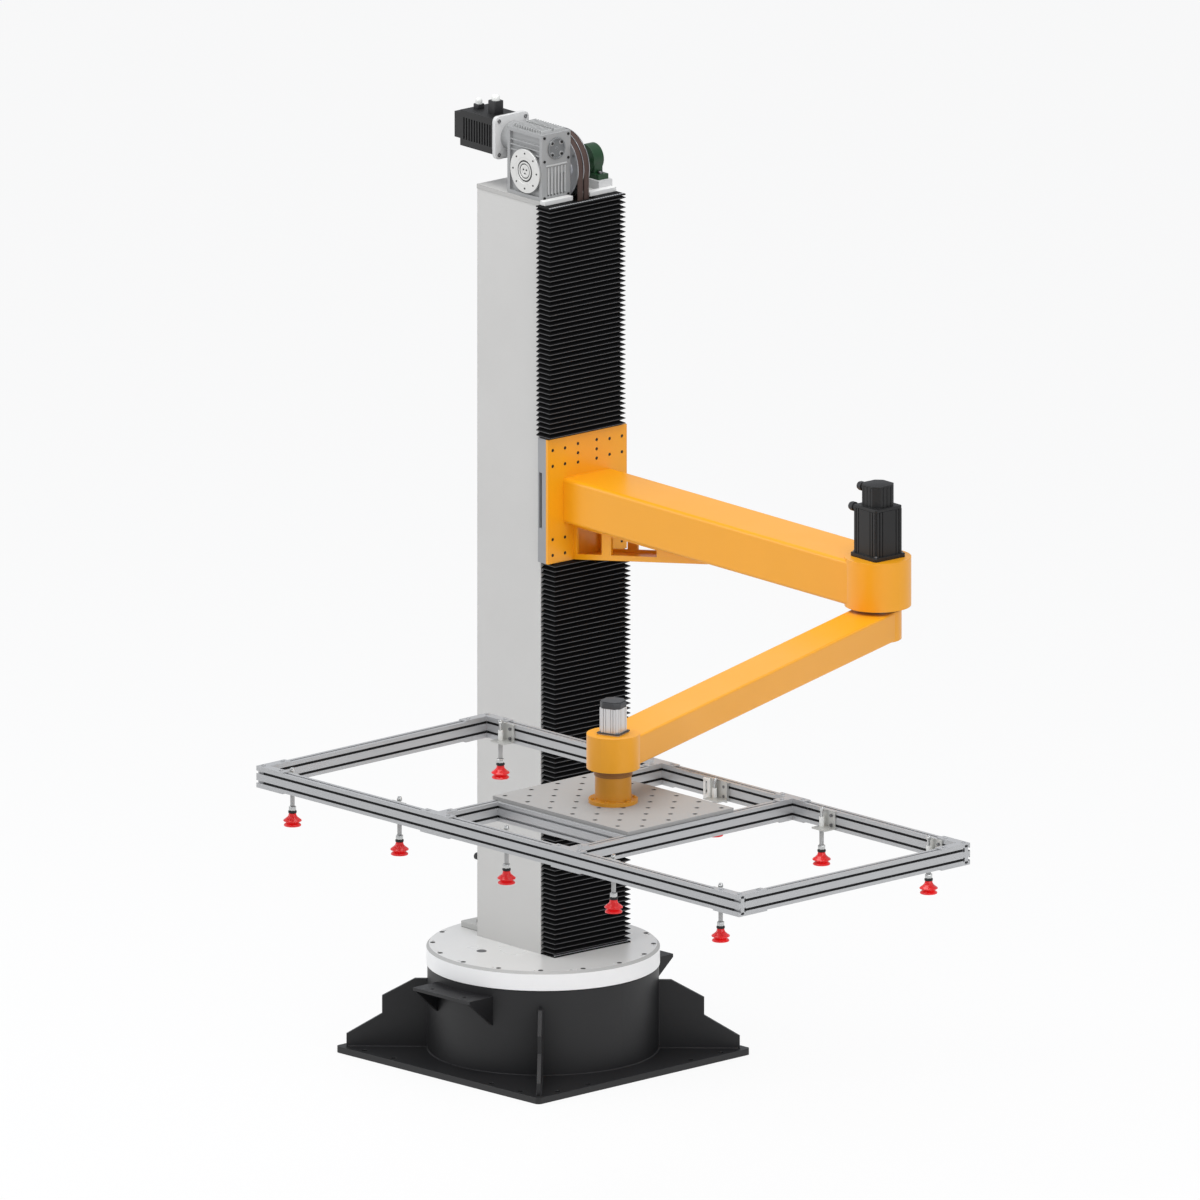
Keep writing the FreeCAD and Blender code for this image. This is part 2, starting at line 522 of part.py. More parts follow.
# Output flange ring, with eight screw holes, and the round worm cover on the end face
flange = rod("flange_disc", "output_flange_radius", "output_flange_proud", "pulley_axis_x",
             "gearbox_side-output_flange_proud", axis_z, "y")
flange_groove = cut("flange_groove",
                    rod("groove_out", "output_flange_radius*0.45", "3", "pulley_axis_x",
                        "gearbox_side-output_flange_proud", axis_z, "y"),
                    rod("groove_in", "output_flange_radius*0.36", "3", "pulley_axis_x",
                        "gearbox_side-output_flange_proud", axis_z, "y"))
flange_holes = []
for index in range(8):
    turn = f"{index}*45"
    flange_holes.append(rod(f"flange_hole_{index}", "3.5", "output_flange_proud-1",
                            f"pulley_axis_x+output_flange_radius*0.8*cos({turn})",
                            "gearbox_side-output_flange_proud",
                            f"{axis_z}+output_flange_radius*0.8*sin({turn})", "y"))
end_x = "(gearbox_x+gearbox_length)"
cover = rod("worm_cover", "worm_cover_radius", "worm_cover_proud", end_x, gear_mid_y, worm_z, "x")
node(group("gearbox_covers", cut("output_flange", flange, flange_groove, *flange_holes), cover), "column")

# Motor adapter plate and the finned lift motor behind it
adapter_x = "(gearbox_x-input_neck_length-adapter_thick)"
adapter = block("adapter_plate", "adapter_thick", "adapter_side", "adapter_side", adapter_x,
                gear_mid_y + "-adapter_side/2", worm_z + "-adapter_side/2")
adapter_holes = []
for across in (1, -1):
    for up in (1, -1):
        adapter_holes.append(rod(f"adapter_hole_{across + 1}{up + 1}", "4.5", "adapter_thick", adapter_x,
                                 f"{gear_mid_y}+{across}*(adapter_side/2-14)",
                                 f"{worm_z}+{up}*(adapter_side/2-14)", "x"))
node(cut("motor_adapter", adapter, *adapter_holes), "column")
motor_x = f"({adapter_x}-lift_motor_length)"
motor_block = block("motor_block", "lift_motor_length", "lift_motor_side", "lift_motor_side", motor_x,
                    gear_mid_y + "-lift_motor_side/2", worm_z + "-lift_motor_side/2")
fins = []
for index in range(11):
    step = f"(lift_motor_length-30)/11*{index}"
    for name, y_spot in (("near", gear_mid_y + "-lift_motor_side/2"),
                         ("far", gear_mid_y + "+lift_motor_side/2-motor_fin")):
        fins.append(block(f"motor_groove_{name}_{index}", "(lift_motor_length-30)/22", "motor_fin",
                          "lift_motor_side*0.62", f"{motor_x}+15+{step}", y_spot, worm_z + "-lift_motor_side*0.31"))
tail = block("motor_tail", "lift_motor_tail", "lift_motor_side*0.72", "lift_motor_side*0.72",
             motor_x + "-lift_motor_tail", gear_mid_y + "-lift_motor_side*0.36", worm_z + "-lift_motor_side*0.36")
node(fuse("lift_motor", cut("motor_finned", motor_block, *fins), tail), "column")
plugs = []
plug_z = f"({worm_z}+lift_motor_side/2)"
for index, (spot, scale) in enumerate((("lift_motor_length*0.62", "1"), ("lift_motor_length*0.12", "0.4"))):
    plugs.append(fuse(f"plug_{index}",
                      middle_block(f"plug_box_{index}", "plug_side", "plug_side", f"plug_height*{scale}",
                                   f"{motor_x}+{spot}", gear_mid_y, plug_z),
                      rod(f"plug_tip_{index}", "plug_tip_radius", "plug_tip_height", f"{motor_x}+{spot}",
                          gear_mid_y, f"{plug_z}+plug_height*{scale}")))
node(group("motor_plugs", *plugs), "column")

# Pillow block bearing on its riser, at the free end of the drive shaft
riser = middle_block("riser_pad", "bearing_foot+20", "bearing_width+14", "riser_height",
                     "pulley_axis_x-10", "bearing_y", "column_top")
node(group("bearing_riser", riser), "column")
ring_z = axis_z
block_low = "(column_top+riser_height)"
foot_block = middle_block("pillow_foot", "bearing_foot", "bearing_width", "bearing_foot_thick",
                          "pulley_axis_x-10", "bearing_y", block_low)
ring_body = rod("pillow_ring", "bearing_ring_radius", "bearing_width", "pulley_axis_x",
                "bearing_y-bearing_width/2", ring_z, "y")
web = middle_block("pillow_web", "1.9*bearing_ring_radius", "bearing_width*0.8",
                   f"{ring_z}-{block_low}", "pulley_axis_x", "bearing_y", block_low)
pillow_bore = rod("pillow_bore", "shaft_radius+shaft_clearance", "bearing_width", "pulley_axis_x",
                  "bearing_y-bearing_width/2", ring_z, "y")
node(cut("pillow_block", fuse("pillow_body", foot_block, ring_body, web), pillow_bore), "column")

# Four guide blocks that run on the rails
mid_z = "(carriage_low+carriage_high)/2"
blocks = []
for index, (side, level) in enumerate(((1, 1), (1, -1), (-1, 1), (-1, -1))):
    low_z = f"{mid_z}+{level}*block_spread-block_length/2"
    body = block(f"guide_blank_{index}", "block_face-block_back", "block_width", "block_length",
                 front + "+block_back", f"{side}*rail_spread-block_width/2", low_z)
    slot = block(f"guide_slot_{index}", "rail_height-block_back+seat_gap", "rail_width+2*seat_gap", "block_length",
                 front + "+block_back", f"{side}*rail_spread-rail_width/2-seat_gap", low_z)
    blocks.append(cut(f"guide_block_{index}", body, slot))
node(group("guide_blocks", *blocks), "column")

# Carriage: a channel round the guide blocks, with a window in each cheek
web_x = front + "+block_face"
carriage_height = "carriage_high-carriage_low"
channel = [block("carriage_web", "web_thick", "carriage_width", carriage_height, web_x, "-carriage_width/2",
                 "carriage_low")]
windows = []
for index, side in enumerate((1, -1)):
    channel.append(block(f"cheek_{index}", "block_face-cheek_back", "cheek_thick", carriage_height,
                         front + "+cheek_back", f"{side}*(carriage_width/2-cheek_thick/2)-cheek_thick/2",
                         "carriage_low"))
    windows.append(block(f"cheek_window_{index}", "window_depth", "cheek_thick", "window_height",
                         front + "+cheek_back+5", f"{side}*(carriage_width/2-cheek_thick/2)-cheek_thick/2",
                         f"{mid_z}-window_height/2"))
windows.append(block("belt_groove", "groove_depth", "2*groove_half", carriage_height, web_x, "-groove_half",
                     "carriage_low"))
node(cut("carriage_channel", fuse("channel_blank", *channel), *windows), "column")
face_x = web_x + "+web_thick"
face_plate = block("face_plate", "face_thick", "carriage_width", carriage_height, face_x, "-carriage_width/2",
                   "carriage_low")
screw_spots = []
for side in (1, -1):
    for column_name in ("screw_column_out", "screw_column_in"):
        for step in (0, 1):
            screw_spots.append((f"{side}*{column_name}", f"carriage_high-screw_row_top-{step}*screw_row_step"))
            screw_spots.append((f"{side}*{column_name}", f"carriage_low+screw_row_bottom+{step}*screw_row_step"))
    for step in (1, 2, 3):
        screw_spots.append((f"{side}*screw_column_mid", f"carriage_high-{step}*mid_row_step"))
face_holes = []
face_screws = []
plate_front = f"({face_x}+face_thick)"
for index, (y_spot, z_spot) in enumerate(screw_spots):
    face_holes.append(rod(f"face_hole_{index}", "screw_head_radius+seat_gap", "screw_head_height+1",
                          plate_front + "-screw_head_height-1", y_spot, z_spot, "x"))
    face_screws.append(rod(f"face_screw_{index}", "screw_head_radius", "screw_head_height",
                           plate_front + "-screw_head_height-1", y_spot, z_spot, "x"))
node(cut("carriage_plate", face_plate, *face_holes), "column")
node(group("carriage_screws", *face_screws), "column")

# Clamp that holds the front runs of both belts against the floor of the groove in the web
belt_face = "(pulley_axis_x+pulley_radius+belt_gap)"
clamp_x = f"({belt_face}-clamp_back)"
clamp_z = f"({mid_z}-clamp_height/2)"
clamp_blank = block("clamp_blank", f"{web_x}+groove_depth-{clamp_x}", "2*groove_half-2", "clamp_height",
                    clamp_x, "-groove_half+1", clamp_z)
clamp_slots = []
for index, side in enumerate((1, -1)):
    clamp_slots.append(block(f"clamp_slot_{index}", "belt_thick+2*seat_gap", "belt_width+2*seat_gap", "clamp_height",
                             belt_face + "-seat_gap", f"{side}*belt_spread-belt_width/2-seat_gap", clamp_z))
node(cut("belt_clamp", clamp_blank, *clamp_slots), "column")

# Main arm: a welded box tube that ends in the elbow boss
arm_start = plate_front
arm_length = f"elbow_reach-{arm_start}"
arm_height = "arm_high-arm_low"
arm_tube = block("arm_tube", arm_length, "arm_width", arm_height, arm_start, "-arm_width/2", "arm_low")
boss = rod("elbow_boss", "elbow_boss_radius", "elbow_boss_high-elbow_boss_low", "elbow_reach", "0", "elbow_boss_low")
doc.recompute()
arm_rounded = doc.addObject("Part::Fillet", "arm_rounded")
arm_rounded.Base = arm_tube
long_edges = [i + 1 for i, e in enumerate(arm_tube.Shape.Edges) if abs(e.tangentAt(e.FirstParameter).x) > 0.9]
arm_rounded.Edges = [(i, mm("arm_round"), mm("arm_round")) for i in long_edges]
arm_room = block("arm_room", f"{arm_length}-elbow_bore_radius-30", "arm_width-2*arm_wall",
                 "arm_high-arm_low-2*arm_wall", arm_start + "+arm_wall", "-arm_width/2+arm_wall", "arm_low+arm_wall")
boss_room = rod("boss_room", "elbow_bore_radius", "elbow_boss_high-elbow_boss_low-elbow_lid_thick",
                "elbow_reach", "0", "elbow_boss_low")
node(cut("main_arm", fuse("arm_blank", arm_rounded, boss), arm_room, boss_room), "column")

# Triangular bracket under the arm: two side plates with windows on a sloping bottom plate
bracket_end = f"({arm_start}+bracket_length)"
sides = []
slope = "(arm_low-bracket_tip-carriage_low)/bracket_length"
for index, side in enumerate((1, -1)):
    points = [(arm_start, "arm_low"), (arm_start, "carriage_low"), (bracket_end, "arm_low-bracket_tip"),
              (bracket_end, "arm_low")]
    plate_body = outline(f"bracket_side_{index}", points, "bracket_plate", "middle")
    bind(plate_body, "Placement.Base.y", f"{side}*bracket_half")
    sides.append(plate_body)
points = [(arm_start, "carriage_low"), (bracket_end, "arm_low-bracket_tip"),
          (bracket_end, "arm_low-bracket_tip+bracket_plate"), (arm_start, "carriage_low+bracket_plate")]
sides.append(outline("bracket_floor", points, "2*bracket_half+bracket_plate", "middle"))
near_x = f"({arm_start}+bracket_frame)"
mid_x = f"({arm_start}+bracket_length*0.21)"
next_x = f"({arm_start}+bracket_length*0.28)"
last_x = f"({arm_start}+bracket_length*0.62)"
first_window = outline("first_window",
                       [(near_x, f"carriage_low+bracket_frame+bracket_frame*{slope}"),
                        (mid_x, f"carriage_low+bracket_frame+bracket_length*0.21*{slope}"),
                        (mid_x, "arm_low-bracket_frame"), (near_x, "arm_low-bracket_frame")],
                       "4*bracket_half", "middle")
second_window = outline("second_window",
                        [(next_x, f"carriage_low+bracket_frame+bracket_length*0.28*{slope}"),
                         (last_x, f"carriage_low+bracket_frame+bracket_length*0.62*{slope}"),
                         (last_x, "arm_low-bracket_frame"), (next_x, "arm_low-bracket_frame")],
                        "4*bracket_half", "middle")
node(cut("arm_bracket", fuse("bracket_blank", *sides), first_window, second_window), "column")

# Elbow drive: a reducer inside the boss, and the motor with its encoder and two connectors on top
reducer_low = "elbow_boss_low+6"
node(rod("elbow_reducer", "elbow_bore_radius-seat_gap",
         f"elbow_boss_high-elbow_lid_thick-({reducer_low})", "elbow_reach", "0", reducer_low), "column")
elbow_top = "elbow_boss_high"
motor_low = "(elbow_boss_high+elbow_flange_thick)"
elbow_body = middle_block("elbow_body", "elbow_motor_side", "elbow_motor_side", "elbow_motor_height",
                          "elbow_reach", "0", motor_low)
grooves = []
for index, shift in enumerate(("0.22", "-0.22", "0.36", "-0.36", "0.06", "-0.06")):
    for name, x_spot, y_spot, long_x, long_y in (
            ("left", f"elbow_reach+{shift}*elbow_motor_side-2", "-elbow_motor_side/2", "4", "4"),
            ("right", f"elbow_reach+{shift}*elbow_motor_side-2", "elbow_motor_side/2-4", "4", "4"),
            ("front", "elbow_reach+elbow_motor_side/2-4", f"{shift}*elbow_motor_side-2", "4", "4"),
            ("back", "elbow_reach-elbow_motor_side/2", f"{shift}*elbow_motor_side-2", "4", "4")):
        grooves.append(block(f"elbow_groove_{name}_{index}", long_x, long_y, "elbow_motor_height-14",
                             x_spot, y_spot, motor_low))
encoder = rod("elbow_encoder", "encoder_radius", "encoder_height", "elbow_reach", "0",
              motor_low + "+elbow_motor_height")
elbow_flange = middle_block("elbow_flange", "elbow_flange_side", "elbow_flange_side", "elbow_flange_thick",
                            "elbow_reach", "0", elbow_top)
node(fuse("elbow_motor", cut("elbow_finned", elbow_body, *grooves), encoder, elbow_flange), "column")
connectors = [
    rod("connector_low", "connector_radius", "connector_length",
        "elbow_reach-elbow_motor_side/2-connector_length", "-elbow_motor_side*0.2",
        motor_low + "+elbow_motor_height-16", "x"),
    rod("connector_high", "connector_radius*0.9", "connector_length",
        "elbow_reach-encoder_radius-connector_length", "0",
        motor_low + "+elbow_motor_height+encoder_height*0.7", "x"),
]
node(group("elbow_connectors", *connectors), "column")

# Forearm: a welded box tube with a round elbow end and a boss at the wrist
forearm_height = "forearm_high-forearm_low"
forearm_tube = block("forearm_tube", "forearm_reach", "forearm_width", forearm_height, "0", "-forearm_width/2",
                     "forearm_low")
doc.recompute()
forearm_rounded = doc.addObject("Part::Fillet", "forearm_rounded")
forearm_rounded.Base = forearm_tube
long_edges = [i + 1 for i, e in enumerate(forearm_tube.Shape.Edges) if abs(e.tangentAt(e.FirstParameter).x) > 0.9]
forearm_rounded.Edges = [(i, mm("forearm_round"), mm("forearm_round")) for i in long_edges]
forearm_end = rod("forearm_end", "forearm_end_radius", forearm_height, "0", "0", "forearm_low")
wrist_boss = rod("wrist_boss", "wrist_boss_radius", "wrist_boss_high-wrist_boss_low", "forearm_reach", "0",
                 "wrist_boss_low")
forearm_room = block("forearm_room", "forearm_reach-forearm_end_radius-wrist_bore_radius-30",
                     "forearm_width-2*forearm_wall", "forearm_high-forearm_low-2*forearm_wall",
                     "forearm_end_radius", "-forearm_width/2+forearm_wall", "forearm_low+forearm_wall")
wrist_room = rod("wrist_room", "wrist_bore_radius", "wrist_boss_high-wrist_boss_low-wrist_lid_thick",
                 "forearm_reach", "0", "wrist_boss_low")
node(cut("forearm", fuse("forearm_blank", forearm_rounded, forearm_end, wrist_boss), forearm_room, wrist_room),
     "forearm")
node(rod("elbow_hub", "elbow_hub_radius", f"{reducer_low}-seat_gap-forearm_high", "0", "0", "forearm_high"), "forearm")
node(rod("wrist_reducer", "wrist_bore_radius-seat_gap",
         "wrist_boss_high-wrist_lid_thick-wrist_boss_low-stub_length+1", "forearm_reach", "0",
         "wrist_boss_low+stub_length-1"), "forearm")


def chamfered(name, side, corner, height, x, z):
    """A square bar with its upright corners taken off."""
    half = f"({side})/2"
    points = []
    for sx, sy, first in ((1, -1, True), (1, 1, False), (-1, 1, True), (-1, -1, False)):
        ends = [(f"{x}+({sx}*({half}-{corner}))", f"{sy}*{half}"), (f"{x}+({sx}*{half})", f"{sy}*({half}-{corner})")]
        points += ends if first else ends[::-1]
    body = outline(name, points, height, "side", "XY")
    bind(body, "Placement.Base.z", z)
    return body


seat = middle_block("wrist_seat", "wrist_seat_side", "wrist_seat_side", "wrist_seat_thick", "forearm_reach", "0",
                    "wrist_boss_high")
wrist_can = chamfered("wrist_can", "wrist_motor_side", "wrist_motor_corner", "wrist_motor_height", "forearm_reach",
                      "wrist_boss_high+wrist_seat_thick")
node(fuse("wrist_motor", seat, wrist_can), "forearm")
node(chamfered("wrist_motor_cap", "wrist_motor_side", "wrist_cap_corner", "wrist_cap_height", "forearm_reach",
               "wrist_boss_high+wrist_seat_thick+wrist_motor_height"), "forearm")

# Wrist spindle: a necked sleeve with a bolted flange
tool_top = "(frame_low+profile_height+tool_plate_thick)"
spindle_top = "(wrist_boss_low-seat_gap)"
spindle = fuse("spindle_blank",
               rod("spindle_neck", "spindle_radius", f"{spindle_top}-{tool_top}", z=tool_top),
               rod("spindle_collar", "collar_radius", "collar_height", z=f"{spindle_top}-collar_height"),
               rod("spindle_stub", "wrist_bore_radius-8", "stub_length", z="wrist_boss_low-seat_gap-1"),
               rod("spindle_flange", "spindle_flange_radius", "spindle_flange_thick", z=tool_top))
flange_bores = []
for index in range(6):
    turn = f"{index}*60"
    flange_bores.append(rod(f"spindle_bore_{index}", "spindle_bolt_radius", "spindle_flange_thick",
                            f"spindle_bolt_circle*cos({turn})", f"spindle_bolt_circle*sin({turn})", tool_top))
node(cut("wrist_spindle", spindle, *flange_bores), "tool")

# Tool plate with a grid of holes, clear of the spindle flange
plate_low = "(frame_low+profile_height)"
tool_blank = middle_block("tool_blank", "plate_length", "plate_width", "tool_plate_thick", z=plate_low)
grid = []
for column_number in range(-4, 5):
    for row_number in range(-3, 4):
        if (column_number + row_number) % 2 == 0 and abs(column_number) + abs(row_number) > 2:
            grid.append(rod(f"plate_hole_{column_number + 4}_{row_number + 3}", "plate_hole_radius",
                            "tool_plate_thick", f"{column_number}*plate_hole_pitch",
                            f"{row_number}*plate_hole_pitch", plate_low))
node(cut("tool_plate", tool_blank, *grid), "tool")


def slot_points(centre_across, centre_up, across_sign, up_sign):
    """The corners of one undercut slot, walked along the profile's outline."""
    half_open, half_in = "slot_opening/2", "slot_inner/2"
    lip, depth = "slot_lip", "slot_depth"
    steps = [(f"-{half_open}", "0"), (f"-{half_open}", lip), (f"-{half_in}", lip), (f"-{half_in}+2", depth),
             (f"{half_in}-2", depth), (half_in, lip), (half_open, lip), (half_open, "0")]
    points = []
    for along, inward in steps:
        if across_sign:
            points.append((f"({centre_across})-({across_sign})*({inward})",
                           f"({centre_up})+({across_sign})*({along})"))
        else:
            points.append((f"({centre_across})-({up_sign})*({along})",
                           f"({centre_up})-({up_sign})*({inward})"))
    return points


def profile_bar(name, length, x, y, across=False):
    """A slotted aluminium profile, one bay wide and two bays high, laid along X or, if across, along Y."""
    half = "profile_width/2"
    top = "profile_height"
    points = [(half, "0")]
    points += slot_points(half, "profile_height/4", 1, 0)
    points += slot_points(half, "profile_height*3/4", 1, 0)
    points += [(half, top)]
    points += slot_points("0", top, 0, 1)
    points += [(f"-{half}", top)]
    points += slot_points(f"-{half}", "profile_height*3/4", -1, 0)
    points += slot_points(f"-{half}", "profile_height/4", -1, 0)
    points += [(f"-{half}", "0")]
    points += slot_points("0", "0", 0, -1)
    bar = outline(name, points, length, "middle", "YZ" if not across else "XZ")
    return place(bar, x, y, "frame_low")


edge_y = "(frame_width/2-profile_width/2)"
edge_x = "(frame_length/2-profile_width/2)"
short_length = "frame_width-2*profile_width"
outer = []
for index, side in enumerate((1, -1)):
    outer.append(profile_bar(f"long_rail_{index}", "frame_length", "0", f"{side}*{edge_y}"))
    outer.append(profile_bar(f"short_rail_{index}", short_length, f"{side}*{edge_x}", "0", True))
node(group("outer_rails", *outer), "tool")
inner = []
for index, side in enumerate((1, -1)):
    inner.append(profile_bar(f"cross_bar_{index}", short_length, f"cross_bar_shift+{side}*cross_bar_spread", "0", True))
    inner.append(profile_bar(f"inner_bar_{index}", "2*cross_bar_spread-profile_width", "cross_bar_shift",
                             f"{side}*inner_bar_spread"))
node(group("inner_bars", *inner), "tool")

# Flat joining plates over and under each joint of the frame
joiners = []
under = "frame_low-joiner_thick"
for index, (sx, sy) in enumerate(((1, 1), (1, -1), (-1, 1), (-1, -1))):
    for name, level in (("top", plate_low), ("under", under)):
        along = block(f"joiner_along_{name}_{index}", "corner_leg", "profile_width", "joiner_thick",
                      f"{sx}*(frame_length/2-corner_leg/2)-corner_leg/2", f"{sy}*{edge_y}-profile_width/2", level)
        over = block(f"joiner_over_{name}_{index}", "profile_width", "corner_leg", "joiner_thick",
                     f"{sx}*{edge_x}-profile_width/2", f"{sy}*(frame_width/2-corner_leg/2)-corner_leg/2", level)
        joiners.append(fuse(f"corner_joiner_{name}_{index}", along, over))
        tee_x = f"(cross_bar_shift+{sx}*cross_bar_spread)"
        bar = block(f"tee_bar_{name}_{index}", "tee_length", "profile_width", "joiner_thick",
                    f"{tee_x}-tee_length/2", f"{sy}*{edge_y}-profile_width/2", level)
        leg = block(f"tee_leg_{name}_{index}", "profile_width", "corner_leg*0.7", "joiner_thick",
                    f"{tee_x}-profile_width/2", f"{sy}*(frame_width/2-corner_leg*0.35)-corner_leg*0.35", level)
        joiners.append(fuse(f"tee_joiner_{name}_{index}", bar, leg))
node(group("joining_plates", *joiners), "tool")

# Ten spring-loaded suction cups on angle brackets inside the long rails
bracket_low = "(frame_low+angle_lift)"
angles = []
screws = []
bushes = []
rail_face = "(frame_width/2-profile_width)"
cup_places = []
for side in (1, -1):
    for step in range(-2, 3):
        cup_places.append((side, f"(cup_row_shift+{step}*cup_pitch)", f"({side}*cup_row_spread)"))
for index, (side, x, y) in enumerate(cup_places, start=1):
    upright_y = f"{side}*({rail_face}-angle_thick/2)-angle_thick/2"
    upright = block(f"angle_upright_{index}", "angle_width", "angle_thick", "angle_height", f"{x}-angle_width/4",
                    upright_y, bracket_low)
    flat = block(f"angle_flat_{index}", "angle_width", "angle_depth", "angle_thick", f"{x}-angle_width/4",
                 f"{side}*({rail_face}-angle_depth/2)-angle_depth/2", bracket_low)
    hole = rod(f"angle_hole_{index}", "stem_radius+stem_gap", "angle_thick", x, y, bracket_low)
    angles.append(cut(f"angle_{index}", fuse(f"angle_blank_{index}", upright, flat), hole))
    for level in ("profile_height/4", "profile_height*3/4"):
        screws.append(rod(f"angle_screw_{len(screws)}", "5", "4", f"{x}+angle_width/2",
                          f"{side}*({rail_face}-angle_thick-2)-2", f"frame_low+{level}", "y"))
    sleeve = rod(f"bush_blank_{index}", "bush_radius", "bush_height", x, y, bracket_low + "+angle_thick")
    sleeve_hole = rod(f"bush_hole_{index}", "stem_radius+shaft_clearance", "bush_height", x, y,
                      bracket_low + "+angle_thick")
    bushes.append(cut(f"bush_{index}", sleeve, sleeve_hole))
node(group("cup_brackets", *angles), "tool")
node(group("bracket_screws", *screws), "tool")
node(group("stem_bushes", *bushes), "tool")


def cup_profile(name, x, y):
    """The rubber bellows of one cup, as stacked cones, hollow inside and open at the lip."""
    folds = (("cup_neck_radius", "cup_radius*0.95", "0.62", "0.30"), ("cup_radius*0.95", "cup_neck_radius*1.15", "0.34", "0.28"),
             ("cup_neck_radius*1.15", "cup_radius", "0", "0.34"))
    outside = []
    for number, (upper, lower, low, share) in enumerate(folds):
        cone = doc.addObject("Part::Cone", f"{name}_fold_{number}")
        bind(cone, "Radius1", lower)
        bind(cone, "Radius2", upper)
        bind(cone, "Height", f"cup_height*{share}")
        place(cone, x, y, f"lip_level+cup_height*{low}")
        outside.append(cone)
    outside.append(rod(f"{name}_root", "cup_neck_radius", "cup_height*0.08", x, y, "lip_level+cup_height*0.92"))
    mouth = doc.addObject("Part::Cone", f"{name}_mouth")
    bind(mouth, "Radius1", "cup_radius-cup_wall")
    bind(mouth, "Radius2", "cup_neck_radius*1.15-cup_wall")
    bind(mouth, "Height", "cup_height*0.34")
    place(mouth, x, y, "lip_level")
    return cut(name + "_rubber", fuse(f"{name}_folds", *outside), mouth)


for index, (side, x, y) in enumerate(cup_places, start=1):
    name = f"suction_cup_{index:02d}"
    ring_low = "(lip_level+cup_height)"
    nut_low = "(lip_level+cup_height+collar_ring_height)"
    rod_low = "(lip_level+cup_height+collar_ring_height+nut_height)"
    stem_top = "(frame_low+profile_height-2)"
    metal = fuse(f"{name}_metal",
                 rod(f"{name}_ring", "collar_ring_radius", "collar_ring_height", x, y, ring_low),
                 rod(f"{name}_nut", "nut_radius", "nut_height", x, y, nut_low),
                 rod(f"{name}_stem", "stem_radius", f"{stem_top}-{rod_low}", x, y, rod_low),
                 rod(f"{name}_fitting", "fitting_radius", "fitting_rise", x, y, stem_top))
    node(group(name, metal, cup_profile(name, x, y)), "tool")

doc.recompute()
faulty = [item.Name for item in doc.Objects if "Invalid" in item.State or "Error" in item.State]
if faulty:
    raise SystemExit("failed to build: " + ", ".join(faulty))
for piece in NODES:
    shape = piece.Shape
    if shape.isNull() or not shape.isValid() or not shape.Solids:
        raise SystemExit("bad shape: " + piece.Label)
for piece in NODES:
    piece.Shape.exportStep("parts/%s.step" % piece.Label)
print(len(NODES), "sub-parts")
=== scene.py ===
import bpy
import bmesh
import json
import math
from mathutils import Matrix, Vector


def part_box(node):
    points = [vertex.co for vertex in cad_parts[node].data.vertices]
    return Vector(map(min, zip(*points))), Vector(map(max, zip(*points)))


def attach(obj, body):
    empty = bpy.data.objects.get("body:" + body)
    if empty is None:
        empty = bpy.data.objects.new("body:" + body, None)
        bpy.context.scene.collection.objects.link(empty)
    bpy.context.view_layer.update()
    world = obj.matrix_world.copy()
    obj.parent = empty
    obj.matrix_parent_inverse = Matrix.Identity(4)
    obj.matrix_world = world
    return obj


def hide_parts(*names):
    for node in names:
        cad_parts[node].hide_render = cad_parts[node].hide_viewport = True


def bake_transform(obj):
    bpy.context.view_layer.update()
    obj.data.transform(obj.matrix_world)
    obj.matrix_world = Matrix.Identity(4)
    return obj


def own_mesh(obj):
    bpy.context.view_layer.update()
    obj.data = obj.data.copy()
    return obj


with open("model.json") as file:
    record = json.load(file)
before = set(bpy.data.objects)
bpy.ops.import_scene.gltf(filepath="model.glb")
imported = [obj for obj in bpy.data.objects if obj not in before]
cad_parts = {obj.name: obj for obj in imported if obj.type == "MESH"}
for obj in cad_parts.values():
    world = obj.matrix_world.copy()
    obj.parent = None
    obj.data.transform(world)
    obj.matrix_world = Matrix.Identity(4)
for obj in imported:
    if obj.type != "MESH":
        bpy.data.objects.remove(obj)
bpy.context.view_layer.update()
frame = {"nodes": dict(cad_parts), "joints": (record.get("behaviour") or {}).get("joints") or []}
nodes = frame["nodes"]

# The view, floor and light
# The machine stands on a pale floor under soft studio light. The camera looks down a little
# over one corner of the base plate, without perspective, so that parallel edges stay parallel.
VIEW_TURN = math.radians(46.3)
VIEW_DOWN = math.radians(14.4)
VIEW_WIDTH = 3.672
VIEW_CENTRE = Vector((0.1202, 0.1258, 1.4316))
VIEW_DISTANCE = 14.0
FLOOR_HALF = 60.0
across = Vector((math.cos(VIEW_TURN), math.sin(VIEW_TURN), 0))
ahead = Vector((-math.sin(VIEW_TURN) * math.cos(VIEW_DOWN), math.cos(VIEW_TURN) * math.cos(VIEW_DOWN),
                -math.sin(VIEW_DOWN)))
camera_data = bpy.data.cameras.new("studio_camera")
camera_data.type = "ORTHO"
camera_data.ortho_scale = VIEW_WIDTH
camera_data.clip_end = 200.0
camera = bpy.data.objects.new("studio_camera", camera_data)
bpy.context.scene.collection.objects.link(camera)
turn = Matrix((across, across.cross(ahead), -ahead)).transposed()
camera.matrix_world = Matrix.Translation(VIEW_CENTRE - ahead * VIEW_DISTANCE) @ turn.to_4x4()
bpy.context.scene.camera = camera
bpy.context.scene.view_settings.view_transform = "Standard"


def lamp(name, place, size, power):
    """A square soft light that points at the middle of the machine."""
    data = bpy.data.lights.new(name, "AREA")
    data.shape = "SQUARE"
    data.size = size
    data.energy = power
    light = bpy.data.objects.new(name, data)
    light.location = place
    light.rotation_euler = (VIEW_CENTRE - Vector(place)).to_track_quat("-Z", "Y").to_euler()
    bpy.context.scene.collection.objects.link(light)


lamp("overhead_light", (1.0, -1.5, 8.0), 6.0, 380.0)
lamp("left_light", (-5.5, -5.5, 4.0), 4.0, 112.0)
lamp("right_light", (7.5, -1.5, 3.5), 4.0, 90.0)


